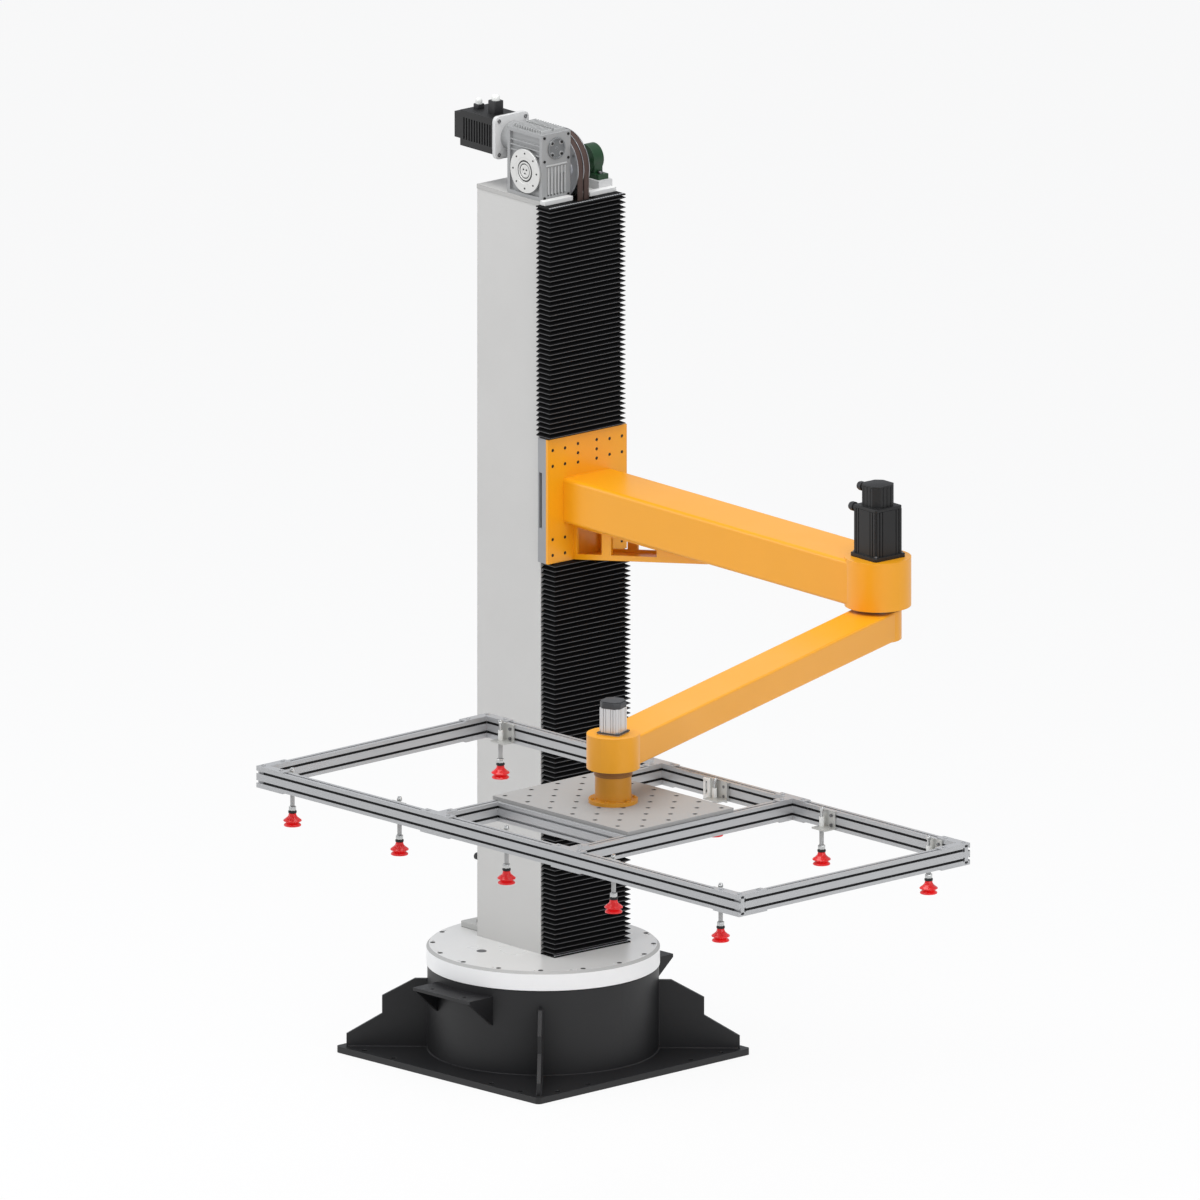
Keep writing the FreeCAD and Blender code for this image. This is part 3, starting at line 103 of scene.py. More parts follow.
def add_node(tree, kind, sockets=None, **settings):
    """A new node with its settings and the values of its own sockets."""
    made = tree.nodes.new(kind)
    for title, value in settings.items():
        setattr(made, title, value)
    for title, value in (sockets or {}).items():
        made.inputs[title].default_value = value
    return made


def wire(tree, *runs):
    """Links nodes; each run names a node, its output, the next node and the input it feeds."""
    for start, output, end, entry in runs:
        tree.links.new(start.outputs[output], end.inputs[entry])


world = bpy.data.worlds.new("studio_world")
bpy.context.scene.world = world
world.use_nodes = True
sky = world.node_tree
sky.nodes.clear()
seen = add_node(sky, "ShaderNodeLightPath")
room = add_node(sky, "ShaderNodeBackground", {"Color": (0.93, 0.95, 1.0, 1.0), "Strength": 0.62})
wall = add_node(sky, "ShaderNodeBackground", {"Color": (1.0, 1.0, 1.0, 1.0), "Strength": 1.0})
either = add_node(sky, "ShaderNodeMixShader")
world_out = add_node(sky, "ShaderNodeOutputWorld")
wire(sky, (seen, "Is Camera Ray", either, 0), (room, 0, either, 1), (wall, 0, either, 2),
     (either, 0, world_out, 0))

floor_mesh = bpy.data.meshes.new("floor")
corners = [(-FLOOR_HALF, -FLOOR_HALF, 0), (FLOOR_HALF, -FLOOR_HALF, 0), (FLOOR_HALF, FLOOR_HALF, 0),
           (-FLOOR_HALF, FLOOR_HALF, 0)]
floor_mesh.from_pydata(corners, [], [(0, 1, 2, 3)])
floor = bpy.data.objects.new("floor", floor_mesh)
bpy.context.scene.collection.objects.link(floor)
floor_paint = bpy.data.materials.new("studio_floor")
floor_paint.use_nodes = True
tree = floor_paint.node_tree
shader = tree.nodes["Principled BSDF"]
shader.inputs["Base Color"].default_value = (0.86, 0.86, 0.86, 1.0)
shader.inputs["Roughness"].default_value = 0.6
path = add_node(tree, "ShaderNodeLightPath")
either_ray = add_node(tree, "ShaderNodeMath", operation="MAXIMUM")
glow = add_node(tree, "ShaderNodeEmission", {"Color": (1.0, 1.0, 1.0, 1.0)})
fade = add_node(tree, "ShaderNodeMath", {1: 0.86}, operation="MULTIPLY")
blend = add_node(tree, "ShaderNodeMixShader")
wire(tree, (path, "Is Camera Ray", either_ray, 0), (path, "Is Glossy Ray", either_ray, 1),
     (either_ray, 0, fade, 0), (fade, 0, blend, 0), (shader, 0, blend, 1), (glow, 0, blend, 2),
     (blend, 0, tree.nodes["Material Output"], 0))
floor.data.materials.append(floor_paint)

# Base plate, drum, gussets and shelves
# A welded stand of thick steel plate that is bolted to the floor. All of it is sprayed with one
# coat of semi-gloss black, which is a little orange-peeled and rubbed thin along the cut edges.
PLATE_BLACK = (19, 19, 21)
RUBBED_BLACK = (70, 70, 72)


def tint(red, green, blue):
    """The linear colour of a paint chip that is read in display values."""
    def linear(value):
        part = value / 255
        return part / 12.92 if part <= 0.04045 else ((part + 0.055) / 1.055) ** 2.4
    return (linear(red), linear(green), linear(blue), 1.0)


def new_group(name, inputs, outputs):
    """An empty shader group with named sockets, as (tree, input node, output node)."""
    made = bpy.data.node_groups.new(name, "ShaderNodeTree")
    for title, kind, value in inputs:
        socket = made.interface.new_socket(name=title, in_out="INPUT", socket_type=kind)
        socket.default_value = value
    for title, kind in outputs:
        made.interface.new_socket(name=title, in_out="OUTPUT", socket_type=kind)
    return made, made.nodes.new("NodeGroupInput"), made.nodes.new("NodeGroupOutput")


def build_grain_group():
    """Fine bumps and slow cloudy changes, for colour, gloss and surface height."""
    made, given, result = new_group(
        "surface_grain",
        [("Color", "NodeSocketColor", (0.5, 0.5, 0.5, 1.0)), ("Size", "NodeSocketFloat", 0.004),
         ("Cloud", "NodeSocketFloat", 0.08), ("Roughness", "NodeSocketFloat", 0.5),
         ("Stretch", "NodeSocketVector", (1.0, 1.0, 1.0))],
        [("Color", "NodeSocketColor"), ("Roughness", "NodeSocketFloat"), ("Height", "NodeSocketFloat")])
    spot = add_node(made, "ShaderNodeTexCoord")
    scaled = add_node(made, "ShaderNodeVectorMath", operation="MULTIPLY")
    inverse = add_node(made, "ShaderNodeMath", {0: 1.0}, operation="DIVIDE")
    fine = add_node(made, "ShaderNodeTexNoise", {"Detail": 3.0})
    broad = add_node(made, "ShaderNodeTexNoise", {"Scale": 3.5, "Detail": 4.0})
    dirt = add_node(made, "ShaderNodeMapRange", {"From Min": 0.3, "From Max": 0.7})
    amount = add_node(made, "ShaderNodeMath", operation="MULTIPLY")
    darker = add_node(made, "ShaderNodeMix", {7: (0.55, 0.53, 0.5, 1.0)}, data_type="RGBA",
                      blend_type="MULTIPLY")
    gloss = add_node(made, "ShaderNodeMath", {1: 0.16}, operation="MULTIPLY_ADD")
    lower = add_node(made, "ShaderNodeMath", {1: 0.08}, operation="SUBTRACT")
    wire(made, (spot, "Object", scaled, 0), (given, "Stretch", scaled, 1), (given, "Size", inverse, 1),
         (scaled, 0, fine, "Vector"), (inverse, 0, fine, "Scale"), (spot, "Object", broad, "Vector"),
         (broad, 0, dirt, "Value"), (dirt, 0, amount, 0), (given, "Cloud", amount, 1),
         (amount, 0, darker, 0), (given, "Color", darker, 6), (darker, 2, result, "Color"),
         (given, "Roughness", lower, 0), (broad, 0, gloss, 0), (lower, 0, gloss, 2),
         (gloss, 0, result, "Roughness"), (fine, 0, result, "Height"))
    return made


def build_edge_group():
    """A mask of sharp edges, broken up by noise, that shows the bare material through the finish."""
    made, given, result = new_group(
        "edge_wear",
        [("Color", "NodeSocketColor", (0.5, 0.5, 0.5, 1.0)),
         ("Worn", "NodeSocketColor", (0.6, 0.6, 0.6, 1.0)),
         ("Radius", "NodeSocketFloat", 0.0015), ("Amount", "NodeSocketFloat", 0.6)],
        [("Color", "NodeSocketColor"), ("Mask", "NodeSocketFloat")])
    rounded = add_node(made, "ShaderNodeBevel", samples=4)
    flat = add_node(made, "ShaderNodeNewGeometry")
    match = add_node(made, "ShaderNodeVectorMath", operation="DOT_PRODUCT")
    edge = add_node(made, "ShaderNodeMapRange", {"From Min": 0.995, "From Max": 0.90})
    spot = add_node(made, "ShaderNodeTexCoord")
    patch = add_node(made, "ShaderNodeTexNoise", {"Scale": 40.0})
    broken = add_node(made, "ShaderNodeMath", operation="MULTIPLY")
    share = add_node(made, "ShaderNodeMath", operation="MULTIPLY", use_clamp=True)
    worn = add_node(made, "ShaderNodeMix", data_type="RGBA")
    wire(made, (given, "Radius", rounded, "Radius"), (rounded, 0, match, 0), (flat, "Normal", match, 1),
         (match, "Value", edge, "Value"), (spot, "Object", patch, "Vector"), (edge, 0, broken, 0),
         (patch, 0, broken, 1), (broken, 0, share, 0), (given, "Amount", share, 1), (share, 0, worn, 0),
         (given, "Color", worn, 6), (given, "Worn", worn, 7), (worn, 2, result, "Color"),
         (share, 0, result, "Mask"))
    return made


grain_group = build_grain_group()
edge_group = build_edge_group()


def finish(name, colour, roughness, metallic=0.0, size=0.0008, cloud=0.08, bump=0.05, worn=None, wear=0.5,
           radius=0.0015, stretch=(1.0, 1.0, 1.0), coat=0.0, shine=0.5):
    """A material of paint, metal, rubber or plastic with grain, slow clouds and worn edges."""
    made = bpy.data.materials.new(name)
    made.use_nodes = True
    inner = made.node_tree
    surface = inner.nodes["Principled BSDF"]
    for title, value in (("Metallic", metallic), ("Coat Weight", coat), ("Coat Roughness", 0.2),
                         ("Specular IOR Level", shine)):
        surface.inputs[title].default_value = value
    grain = add_node(inner, "ShaderNodeGroup", node_tree=grain_group,
                     sockets={"Color": tint(*colour), "Size": size, "Cloud": cloud, "Roughness": roughness,
                              "Stretch": stretch})
    wear_step = add_node(inner, "ShaderNodeGroup", node_tree=edge_group,
                         sockets={"Worn": tint(*(worn or colour)), "Amount": wear, "Radius": radius})
    height = add_node(inner, "ShaderNodeBump", {"Strength": bump, "Distance": 0.001})
    soft_edge = add_node(inner, "ShaderNodeBevel", {"Radius": radius}, samples=4)
    wire(inner, (grain, "Color", wear_step, "Color"), (wear_step, "Color", surface, "Base Color"),
         (grain, "Roughness", surface, "Roughness"), (grain, "Height", height, "Height"),
         (soft_edge, 0, height, "Normal"), (height, 0, surface, "Normal"))
    return made


def dress(material, *names):
    """Gives CAD nodes their finish."""
    for name in names:
        piece = nodes[name]
        if not piece.material_slots:
            piece.data.materials.append(material)
        for holder in piece.material_slots:
            holder.material = material


black_paint = finish("black_spray_paint", PLATE_BLACK, 0.5, size=0.0025, cloud=0.25, bump=0.12,
                     worn=RUBBED_BLACK, wear=0.9, radius=0.002)
dress(black_paint, "base_plate", "base_drum", "drum_gussets", "side_shelves")

# Weld beads of the stand
# Each gusset is fillet-welded to the drum and to the base plate on both faces. The bead is laid in
# short overlapping drops and sprayed over with the same black paint.
BEAD_RADIUS = 0.0035
BEAD_STEP = 0.005
GUSSET_THICK = 0.012
DRUM_RADIUS = 0.3545
PLATE_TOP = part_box("base_plate")[1].z
GUSSET_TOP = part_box("drum_gussets")[1].z
GUSSET_REACH = 0.600


def new_piece(name, mesh, material=None):
    """Puts a mesh into the scene as an object at the origin."""
    piece = bpy.data.objects.new(name, mesh)
    bpy.context.scene.collection.objects.link(piece)
    if material is not None:
        piece.data.materials.clear()
        piece.data.materials.append(material)
    return piece


def shape_of(name, build):
    """A mesh made by a function that fills a bmesh."""
    work = bmesh.new()
    build(work)
    bmesh.ops.recalc_face_normals(work, faces=work.faces)
    mesh = bpy.data.meshes.new(name)
    work.to_mesh(mesh)
    work.free()
    return mesh


def settled(piece):
    """The mesh of a piece with its modifiers applied. The piece itself goes."""
    bpy.context.view_layer.update()
    ready = piece.evaluated_get(bpy.context.evaluated_depsgraph_get())
    mesh = bpy.data.meshes.new_from_object(ready)
    bpy.data.objects.remove(piece)
    return mesh


def repeat_tree():
    """Sets a copy of one object on every point, turned the same way, as real geometry."""
    made = bpy.data.node_groups.new("set_out_copies", "GeometryNodeTree")
    for title, kind in (("Points", "Geometry"), ("Shape", "Object"), ("Turn", "Vector"),
                        ("Finish", "Material")):
        made.interface.new_socket(name=title, in_out="INPUT", socket_type="NodeSocket" + kind)
    made.interface.new_socket(name="Copies", in_out="OUTPUT", socket_type="NodeSocketGeometry")
    given = add_node(made, "NodeGroupInput")
    result = add_node(made, "NodeGroupOutput")
    shape = add_node(made, "GeometryNodeObjectInfo")
    place = add_node(made, "GeometryNodeInstanceOnPoints")
    facing = add_node(made, "FunctionNodeEulerToRotation")
    real = add_node(made, "GeometryNodeRealizeInstances")
    coat = add_node(made, "GeometryNodeSetMaterial")
    wire(made, (given, "Points", place, "Points"), (given, "Shape", shape, "Object"),
         (shape, "Geometry", place, "Instance"), (given, "Turn", facing, 0), (facing, 0, place, "Rotation"),
         (place, "Instances", real, 0), (real, 0, coat, "Geometry"), (given, "Finish", coat, "Material"),
         (coat, 0, result, "Copies"))
    return made


copies_tree = repeat_tree()


def set_out(name, points, shape, material, turn=(0.0, 0.0, 0.0)):
    """Copies of one mesh on a list of points, joined into one plain mesh."""
    source = new_piece(name + "_shape", shape)
    guide = bpy.data.meshes.new(name + "_points")
    guide.from_pydata([tuple(p) for p in points], [], [])
    holder = new_piece(name + "_holder", guide)
    step = holder.modifiers.new("copies", "NODES")
    step.node_group = copies_tree
    sockets = {s.name: s.identifier for s in copies_tree.interface.items_tree if s.in_out == "INPUT"}
    step[sockets["Shape"]] = source
    step[sockets["Turn"]] = turn
    step[sockets["Finish"]] = material
    mesh = settled(holder)
    mesh.name = name
    bpy.data.objects.remove(source)
    return new_piece(name, mesh, material)


def circle(count, radius, start=0.0):
    """Pairs at even steps round a circle, from an angle in degrees."""
    turns = [math.radians(start) + 2 * math.pi * i / count for i in range(count)]
    return [(radius * math.cos(turn_here), radius * math.sin(turn_here)) for turn_here in turns]


def drop_shape(work):
    """One drop of a weld bead."""
    bmesh.ops.create_icosphere(work, subdivisions=1, radius=BEAD_RADIUS)


bead_points = []
for quarter in range(4):
    angle = math.radians(45 + 90 * quarter)
    out = Vector((math.cos(angle), math.sin(angle), 0))
    side = Vector((-out.y, out.x, 0)) * (GUSSET_THICK / 2)
    for face in (1, -1):
        for step in range(int((GUSSET_REACH - DRUM_RADIUS) / BEAD_STEP)):
            reach = DRUM_RADIUS + step * BEAD_STEP
            bead_points.append(out * reach + side * face + Vector((0, 0, PLATE_TOP)))
        for step in range(int((GUSSET_TOP - PLATE_TOP) / BEAD_STEP)):
            foot = out * math.sqrt(DRUM_RADIUS ** 2 - (GUSSET_THICK / 2) ** 2) + side * face
            bead_points.append(foot + Vector((0, 0, PLATE_TOP + step * BEAD_STEP)))
for step in range(int(2 * math.pi * DRUM_RADIUS / BEAD_STEP)):
    angle = step * BEAD_STEP / DRUM_RADIUS
    bead_points.append((DRUM_RADIUS * math.cos(angle), DRUM_RADIUS * math.sin(angle), PLATE_TOP))
beads = set_out("stand_weld_beads", bead_points, shape_of("bead", drop_shape), black_paint)
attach(beads, "base")

# Slewing ring and gearmotor inside the drum
# Ground steel races turn on each other under the table. The geared motor stands on the base plate
# in black paint. They only show at the seam under the turntable.
race_steel = finish("ground_race_steel", (150, 150, 152), 0.32, metallic=1.0, size=0.001)
dress(race_steel, "slew_outer_race", "slew_inner_race", "slew_hub")
dress(black_paint, "slew_gearmotor")

# Turntable
# A thick machined disc with a ring of screw holes near its edge. Its side is sprayed satin white and its
# top a pale grey, with faint roller texture. Its bevel is a darker grey, which is painted shade. Low dark
# screws close the rim holes.
table_white = finish("turntable_white", (244, 244, 243), 0.38, size=0.002, cloud=0.05, bump=0.06,
                     worn=(190, 190, 188), radius=0.002, coat=0.2)
table_grey = finish("turntable_top_grey", (216, 216, 214), 0.3, size=0.002, coat=0.3)
bevel_painted_shade = finish("turntable_bevel_grey", (172, 172, 170), 0.5, size=0.002, cloud=0.05)
dress(table_white, "turntable")
table_mesh = nodes["turntable"].data
table_mesh.materials.append(table_grey)
table_mesh.materials.append(bevel_painted_shade)
# Top faces get the pale grey; faces that slant up get the darker grey of painted shade.
for face in table_mesh.polygons:
    if face.normal.z > 0.99:
        face.material_index = 1
    elif face.normal.z > 0.3:
        face.material_index = 2
RIM_CIRCLE = 0.338
RIM_COUNT = 16
RIM_SCREW_RADIUS = 0.0078
RIM_SCREW_HEIGHT = 0.0009
TABLE_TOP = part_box("turntable")[1].z
black_oxide = finish("black_oxide_steel", (30, 29, 28), 0.5, metallic=0.4)
screw_steel = finish("zinc_screw_steel", (120, 120, 122), 0.35, metallic=1.0, worn=(200, 200, 200),
                     wear=0.4, radius=0.0004)


def socket_screw(radius, height):
    """A cap screw head with a hexagon socket, standing on z = 0, as a mesh."""
    def build(work):
        rim = 24
        rings = []
        for ring_radius, z in ((radius, 0.0), (radius, height * 0.88), (radius * 0.9, height)):
            rings.append([work.verts.new((x, y, z)) for x, y in circle(rim, ring_radius)])
        for z in (height, height * 0.4):
            loop = []
            for i in range(rim):
                turn_here = 2 * math.pi * i / rim
                flat = (turn_here + math.pi / 6) % (math.pi / 3) - math.pi / 6
                reach = radius * 0.46 / math.cos(flat)
                loop.append(work.verts.new((reach * math.cos(turn_here), reach * math.sin(turn_here), z)))
            rings.append(loop)
        for low, high in zip(rings, rings[1:]):
            for i in range(rim):
                work.faces.new((low[i], low[(i + 1) % rim], high[(i + 1) % rim], high[i]))
        work.faces.new(rings[0][::-1])
        work.faces.new(rings[-1])
    return shape_of("socket_screw", build)


rim_points = [(x, y, TABLE_TOP) for x, y in circle(RIM_COUNT, RIM_CIRCLE)]
rim_steel = finish("rim_screw_steel", (72, 72, 71), 0.5, metallic=0.4)
rim_screws = set_out("turntable_rim_screws", rim_points, socket_screw(RIM_SCREW_RADIUS, RIM_SCREW_HEIGHT),
                     rim_steel)
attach(rim_screws, "turntable")

# Column
# A tall box welded from steel plate, light grey, with a flat cap. The paint is smooth and has a
# faint cloudiness. Its own frame is turned a few degrees from the base plate.
column_paint = finish("column_grey_paint", (199, 198, 195), 0.45, size=0.003, bump=0.06,
                      worn=(150, 150, 150), wear=0.35, radius=0.002)
dress(column_paint, "column")
COLUMN_TURN = math.radians(-3.3)
column_turn = Matrix.Rotation(COLUMN_TURN, 4, "Z")
COLUMN_DEPTH = 0.300
column_low, column_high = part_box("column")
column_centre = (column_low + column_high) / 2
column_centre.z = 0


def at_column(x, y, z):
    """A point given in the column's own frame: x out of its front, y to its left."""
    return column_centre + Vector((x * math.cos(COLUMN_TURN) - y * math.sin(COLUMN_TURN),
                                   x * math.sin(COLUMN_TURN) + y * math.cos(COLUMN_TURN), z))


def turn_mesh(mesh, move):
    """Moves a mesh by a matrix."""
    mesh.transform(move)
    mesh.update()
    return mesh


# Knob on the back of the column
# A small plain knob of moulded black plastic is screwed into the back wall, a quarter of a metre up.
KNOB_RADIUS = 0.011
KNOB_LENGTH = 0.024
KNOB_RISE = 0.245
KNOB_SIDE = -0.127
black_plastic = finish("moulded_black_plastic", (30, 30, 32), 0.5, cloud=0.05, bump=0.15)


def lathe(name, outline, rim=48):
    """A shape turned about Z from (radius, height) pairs that end on the axis or where they start."""
    def build(work):
        loops = []
        for radius, z in outline:
            if radius < 1e-6:
                loops.append([work.verts.new((0, 0, z))])
                continue
            loops.append([work.verts.new((x, y, z)) for x, y in circle(rim, radius)])
        for low, high in zip(loops, loops[1:]):
            for i in range(rim):
                j = (i + 1) % rim
                if len(low) == 1:
                    work.faces.new((low[0], high[j], high[i]))
                elif len(high) == 1:
                    work.faces.new((low[i], low[j], high[0]))
                else:
                    work.faces.new((low[i], low[j], high[j], high[i]))
    return shape_of(name, build)


def smooth(piece, angle=35):
    """Smooth shading, apart from edges sharper than an angle."""
    piece.data.polygons.foreach_set("use_smooth", [True] * len(piece.data.polygons))
    piece.data.set_sharp_from_angle(angle=math.radians(angle))
    return piece


def turned_piece(name, outline, place, material, rim=48, angle=35):
    """A turned piece set in its place."""
    return smooth(new_piece(name, turn_mesh(lathe(name, outline, rim), place), material), angle)


knob_outline = [(0, 0), (KNOB_RADIUS * 0.5, 0), (KNOB_RADIUS * 0.5, KNOB_LENGTH * 0.35),
                (KNOB_RADIUS, KNOB_LENGTH * 0.4), (KNOB_RADIUS, KNOB_LENGTH * 0.9),
                (KNOB_RADIUS * 0.85, KNOB_LENGTH), (0, KNOB_LENGTH)]
backwards = column_turn @ Matrix.Rotation(math.radians(-90), 4, "Y")
knob_place = Matrix.Translation(at_column(-COLUMN_DEPTH / 2, KNOB_SIDE, TABLE_TOP + KNOB_RISE)) @ backwards
knob = turned_piece("column_knob", knob_outline, knob_place, black_plastic, 24)
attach(knob, "turntable")

# Plug of the lifting hole
# A pressed steel plug closes the hole in the turntable, left of the column, through which it is
# lifted.
PLUG_RADIUS = 0.0155
LIFTING_HOLE = (-0.0588, -0.2042)
plug_grey = finish("lifting_plug_steel", (104, 105, 106), 0.5, metallic=0.3, size=0.001, cloud=0.15,
                   bump=0.1)
plug_disc = [(0, 0), (PLUG_RADIUS, 0), (PLUG_RADIUS, 0.0008), (PLUG_RADIUS - 0.001, 0.0014), (0.010, 0.0014),
             (0.009, 0.0007), (0, 0.0007)]
lifting_plug = turned_piece("lifting_hole_plug", plug_disc, Matrix.Translation((*LIFTING_HOLE, TABLE_TOP)),
                            plug_grey, 32)
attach(lifting_plug, "turntable")

# Foot bracket and guide rails
# The foot behind the column is bent and welded from thick plate, painted grey and bolted
# to the turntable. The cap plate stands a little proud of the column, and the ground rails are hidden.
FOOT_REACH = 0.117
FOOT_WIDTH = 0.219
FOOT_THICK = 0.020
FOOT_LEG = 0.011
FOOT_RISE = 0.145
foot_paint = finish("foot_grey_paint", (186, 186, 183), 0.5, size=0.003, cloud=0.15, bump=0.1,
                    worn=(140, 140, 140))
column_place = Matrix.Translation(column_centre) @ column_turn


def slab(low_corner, high_corner, place, edge=0.0015):
    """A sawn plate or block with broken edges, between two corners."""
    low_corner = Vector(low_corner)
    high_corner = Vector(high_corner)

    def build(work):
        bmesh.ops.create_cube(work, size=1.0)
        bmesh.ops.scale(work, vec=high_corner - low_corner, verts=work.verts)
        bmesh.ops.translate(work, vec=(low_corner + high_corner) / 2, verts=work.verts)
        bmesh.ops.bevel(work, geom=work.edges[:], offset=edge, segments=3, profile=0.5, affect="EDGES")
    return turn_mesh(shape_of("slab", build), place)


def joined(name, meshes, material):
    """Several meshes joined into one object."""
    whole = bmesh.new()
    for mesh in meshes:
        whole.from_mesh(mesh)
        bpy.data.meshes.remove(mesh)
    made = bpy.data.meshes.new(name)
    whole.to_mesh(made)
    whole.free()
    return new_piece(name, made, material)


def blocks(name, corners, place, material, edge=0.0015):
    """Several slabs, each between a low and a high corner, joined into one object."""
    return joined(name, [slab(low, high, place, edge) for low, high in corners], material)


foot_back = -COLUMN_DEPTH / 2
foot = blocks("column_foot_bracket", [
    ((foot_back - FOOT_REACH, -FOOT_WIDTH / 2, TABLE_TOP),
     (foot_back - FOOT_LEG, FOOT_WIDTH / 2, TABLE_TOP + FOOT_THICK)),
    ((foot_back - FOOT_LEG, -FOOT_WIDTH / 2, TABLE_TOP),
     (foot_back, FOOT_WIDTH / 2, TABLE_TOP + FOOT_RISE))], column_place, foot_paint, 0.003)
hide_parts("column_foot")
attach(foot, "turntable")
FOOT_BOLT_PITCH = 0.052
FOOT_BOLT_BACK = foot_back - FOOT_REACH * 0.55
foot_bolts = set_out("column_foot_bolts",
                     [at_column(FOOT_BOLT_BACK, FOOT_BOLT_PITCH * step, TABLE_TOP + FOOT_THICK)
                      for step in (-1.5, -0.5, 0.5, 1.5)], socket_screw(0.009, 0.009), black_oxide)
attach(foot_bolts, "turntable")
CAP_THICK = 0.014
CAP_PROUD = 0.0014
COLUMN_WIDTH = 0.285
cap_side = COLUMN_WIDTH / 2
cap_low = column_high.z - CAP_THICK
cap_paint = finish("cap_edge_paint", (178, 177, 174), 0.5, size=0.003, cloud=0.1, bump=0.08)
cap_edges = blocks("column_cap_edge", [
    ((foot_back - CAP_PROUD, -cap_side - CAP_PROUD, cap_low), (-foot_back, -cap_side, column_high.z)),
    ((foot_back - CAP_PROUD, cap_side, cap_low), (-foot_back, cap_side + CAP_PROUD, column_high.z)),
    ((foot_back - CAP_PROUD, -cap_side, cap_low), (foot_back, cap_side, column_high.z))],
    column_place, cap_paint, 0.0004)
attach(cap_edges, "turntable")
rail_steel = finish("ground_rail_steel", (175, 176, 178), 0.28, metallic=1.0, size=0.001, bump=0.04,
                    stretch=(1.0, 1.0, 0.05))
dress(rail_steel, "guide_rails", "guide_blocks", "idler_shaft", "drive_shaft")

# Bellows
# Two folded covers of black coated cloth keep dust off the guides. Every fold is sewn over a stiff
# strip, so its tip is a thin straight edge.
FOLD_PITCH = 0.0155
FOLD_DEPTH = 0.013
FOLD_LIP = 0.0016
CLOTH_THICK = 0.0012
BELLOWS_WIDTH = 0.305
BELLOWS_DEPTH = 0.066
BELLOWS_OFFSET = 0.010
END_PLATE_THICK = 0.004
UPPER_END = 2.716
# The cloth's lighter worn edges are partly wear and partly painted highlight along the fold edges.
bellows_cloth = finish("coated_bellows_cloth", (7, 7, 8), 0.75, size=0.0006, cloud=0.1, bump=0.2,
                       worn=(30, 30, 32), radius=0.0008, shine=0.2)
# The grey of the fold tips is painted highlight: it stands in for the light caught along each tip.
fold_tip_painted_highlight = finish("bellows_fold_tip_painted_highlight", (88, 88, 90), 0.5, size=0.001, cloud=0.15, bump=0.1)


def fold_shape(work):
    """One fold: a strip round three sides, out to the lip and back in again."""
    half = BELLOWS_WIDTH / 2
    back = COLUMN_DEPTH / 2 + 0.001
    reach = COLUMN_DEPTH / 2 + BELLOWS_DEPTH
    rows = []
    for z, inset in ((0, FOLD_DEPTH), (FOLD_PITCH / 2 - FOLD_LIP / 2, 0), (FOLD_PITCH / 2 + FOLD_LIP / 2, 0),
                     (FOLD_PITCH, FOLD_DEPTH)):
        ring = ((back, -half + inset), (reach - inset, -half + inset), (reach - inset, half - inset),
                (back, half - inset))
        rows.append([work.verts.new((x, y, z)) for x, y in ring])
    for low, high in zip(rows, rows[1:]):
        for i in range(3):
            work.faces.new((low[i], low[i + 1], high[i + 1], high[i]))


def bellows(name, offset, low_z, high_z):
    """A cover of many folds between its fixed end and the carriage."""
    count = round((high_z - low_z) / FOLD_PITCH)
    points = [(0, offset, i * FOLD_PITCH) for i in range(count)]
    cover = set_out(name + "_folds", points, shape_of("fold", fold_shape), bellows_cloth)
    stretch = (high_z - low_z) / (count * FOLD_PITCH)
    work = bmesh.new()
    work.from_mesh(cover.data)
    bmesh.ops.remove_doubles(work, verts=work.verts, dist=0.0001)
    bmesh.ops.recalc_face_normals(work, faces=work.faces)
    work.to_mesh(cover.data)
    work.free()
    cloth = cover.modifiers.new("cloth", "SOLIDIFY")
    cloth.thickness = CLOTH_THICK
    cloth.offset = -1.0
    mesh = settled(cover)
    place = Matrix.Translation(at_column(0, 0, low_z)) @ column_turn
    turn_mesh(mesh, place @ Matrix.Diagonal((1, 1, stretch, 1)))
    piece = new_piece(name + "_cloth", mesh, bellows_cloth)
    piece.data.materials.append(fold_tip_painted_highlight)
    # Upright faces at the fold tips take the painted highlight grey.
    for face in mesh.polygons:
        face.material_index = 1 if abs(face.normal.z) < 0.5 else 0
    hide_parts(name)
    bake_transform(piece)


upper_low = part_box("upper_bellows")[0].z
upper_high = UPPER_END - END_PLATE_THICK
bellows("upper_bellows", -BELLOWS_OFFSET, upper_low, upper_high)
lower_low, lower_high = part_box("lower_bellows")
bellows("lower_bellows", BELLOWS_OFFSET, lower_low.z, lower_high.z)

